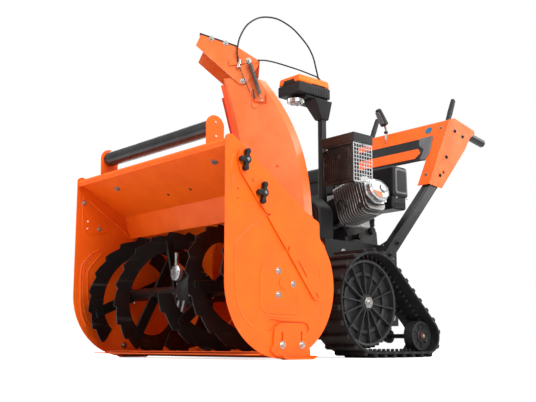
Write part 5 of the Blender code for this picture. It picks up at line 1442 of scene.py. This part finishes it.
def buildConsoleTrim():
    piece = Piece("consoleTrim", "blackPlastic")
    (ly, lz), (hy, hz) = consoleTrim["low"], consoleTrim["high"]
    slope = degrees(atan2(hy - ly, hz - lz))
    turn = turnBy(-slope, "X")
    # dark moulding across the face with a grey end, and a plain orange panel let into it
    half, high = 0.212, 0.06
    moulding = [(-half, -high), (half - 0.012, -high), (half, -high * 0.4), (half - 0.01, high * 0.95),
                (-half, high * 0.95)]
    face = onConsole(0, 0.59, 0.001)
    piece.add(plate([roundedLine(moulding, 0.008, 4)], 0.006, "Y", 0.0016), face, turn)
    ending = [(half - 0.074, high * 0.99), (half - 0.06, high * 0.3), (half - 0.03, -high * 0.1),
              (half - 0.034, -high * 0.96), (half - 0.01, -high * 1.02), (half + 0.004, -high * 0.4),
              (half - 0.006, high * 1.0)]
    piece.add(plate([roundedLine(ending, 0.005, 4)], 0.01, "Y", 0.002), face, turn, skin="greyPlastic")
    long, tall = 0.176, 0.026
    panel = [(-long, 0), (-long + 0.02, -tall), (long - 0.02, -tall), (long, 0), (long - 0.02, tall),
             (-long + 0.02, tall)]
    piece.add(plate([roundedLine([(x * 1.03, z * 1.16) for x, z in panel], 0.005, 3)], 0.0088, "Y", 0.0016),
              face + turn @ Vector((-0.004, 0, -0.022)), turn)
    piece.add(plate([roundedLine(panel, 0.005, 3)], 0.011, "Y", 0.0012),
              face + turn @ Vector((-0.004, 0, -0.022)), turn, skin="orangePowder")
    piece.add(barrel(0.016, 0.002, "Y", 28, edge=0.0005), onConsole(0.172, 0.9, 0.001), turn,
              skin="badgeBlue")
    for x in (-0.232, 0.232):
        for share in (0.16, 0.9):
            piece.bolt(onConsole(x, share), (0, -(hz - lz), hy - ly), 0.0042, "castAlloy")
    for side in (-1, 1):
        for y, z in ((1.3, 0.886), (1.352, 0.872), (1.19, 0.69), (1.236, 0.77)):
            piece.bolt(spot(side * 0.262, y, z), (side, 0, 0), 0.005, "blackPaint")
    # lever plates on the lid
    for x in (0.205, -0.205):
        lid = plate([roundedLine(rectangle(0.02, 0.062), 0.006, 3)], 0.002, "Z", 0.0006)
        piece.add(lid, spot(x, 1.372, 0.9275), Matrix.Rotation(-atan2(0.028, 0.132), 4, "X"))
    piece.done("root")


def buildLevers():
    piece = Piece("speedLeverStick", "blackPlastic")
    base = spot(-0.055, 1.255, 0.905)
    stem = [base + Vector((0, y, z)) for y, z in ((0, 0), (0, 0.04), (-0.004, 0.052), (-0.012, 0.066))]
    piece.add(sweep(stem, 0.0046), skin="zincSteel")
    piece.add(barrel(0.0085, 0.01, "Z", 24, edge=0.002), base + Vector((0, 0, 0.03)))
    knob = turnBy(35, "X")
    at = base + Vector((0, -0.028, 0.091))
    piece.add(block((0.03, 0.03, 0.078), 0.0075, 4, (0.78, 0.72)), at, knob)
    piece.add(block((0.026, 0.006, 0.056), 0.0026, 3, (0.8, 0.9)), at + knob @ Vector((0, -0.0125, 0.002)),
              knob, skin="greyPlastic")
    piece.done("speed_lever_unit", ["speed_lever"])
    for side, mirrored in sides:
        piece = Piece("clutchLeverPaddle_" + side, "blackPlastic")
        lean = turnBy(-24, "X")
        at = spot(0.205, 1.322, 0.915)
        piece.add(block((0.015, 0.022, 0.09), 0.0048, 4, (1, 0.9)), at + lean @ Vector((0, 0, 0.045)), lean)
        piece.add(block((0.0158, 0.0238, 0.08), 0.0058, 4, (0.94, 0.84)), at + lean @ Vector((0, 0, 0.1045)),
                  lean)
        piece.add(barrel(0.0075, 0.013, "X", 24, edge=0.0012), at, skin="zincSteel")
        piece.done("clutch_%s_unit" % side, ["clutch_lever_" + side], mirrored)


def buildHarness():
    # leads and a hose between the engine's covers, then the screws and rear cover of the box below
    piece = Piece("engineLeads", "zincSteel")
    leads = (((0.12, 0.77, 0.56), (0.105, 0.81, 0.47), (0.085, 0.85, 0.43), 0.0034),
             ((0.09, 0.905, 0.52), (0.128, 0.89, 0.5), (0.14, 0.925, 0.52), (0.15, 0.95, 0.545), 0.006),
             ((0.23, 1.11, 0.6), (0.215, 1.06, 0.52), (0.16, 1.01, 0.44), (0.11, 0.99, 0.406), 0.0036))
    for *places, radius in leads:
        route = [spot(*place) for place in places]
        if len(route) == 3:
            route.insert(0, cylinderSpot(0.034, -0.07, 0.152))   # from the spark plug
        piece.add(sweep(route, radius, True, 12, 3), skin="cableSkin")
    for x, y in ((0.15, 0.69), (0.15, 0.82), (-0.15, 0.69), (-0.15, 0.82)):
        piece.bolt(spot(x, y, 0.4), (0, 0, 1), 0.0062)
    for side in (-1, 1):
        for y, z in ((0.7, 0.36), (0.82, 0.36), (0.96, 0.35), (0.7, 0.24), (0.96, 0.14)):
            piece.bolt(spot(side * 0.2, y, z), (side, 0, 0), 0.0064)
    # pressed rear cover of the box, its screws and the tow eye below it
    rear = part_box("chassis")[1][1]
    for wide, high, thick in ((0.172, 0.118, 0.004), (0.12, 0.072, 0.009)):
        cover = roundedLine(rectangle(wide, high), 0.024, 6)
        piece.add(plate([cover], thick, "Y", 0.0012), (0, rear + thick / 2 - 0.001, 0.255), skin="blackPaint")
    for x in (-0.152, 0, 0.152):
        for z in (0.155, 0.355):
            piece.bolt((x, rear + 0.003, z), (0, 1, 0), 0.006)
    for i in range(6):
        piece.add(block((0.12, 0.005, 0.006), 0.002, 2), (0, rear + 0.0095, 0.222 + i * 0.013),
                  skin="blackPlastic")
    piece.add(lathe([(0.012, -0.004), (0.02, -0.004), (0.02, 0.004), (0.012, 0.004)], "X", 32, True),
              (0, rear + 0.012, 0.138))
    piece.done("root")


for side, mirrored in sides:
    buildHandle(side, mirrored)
buildConsoleTrim()
buildLevers()
buildHarness()
print("console dressed")
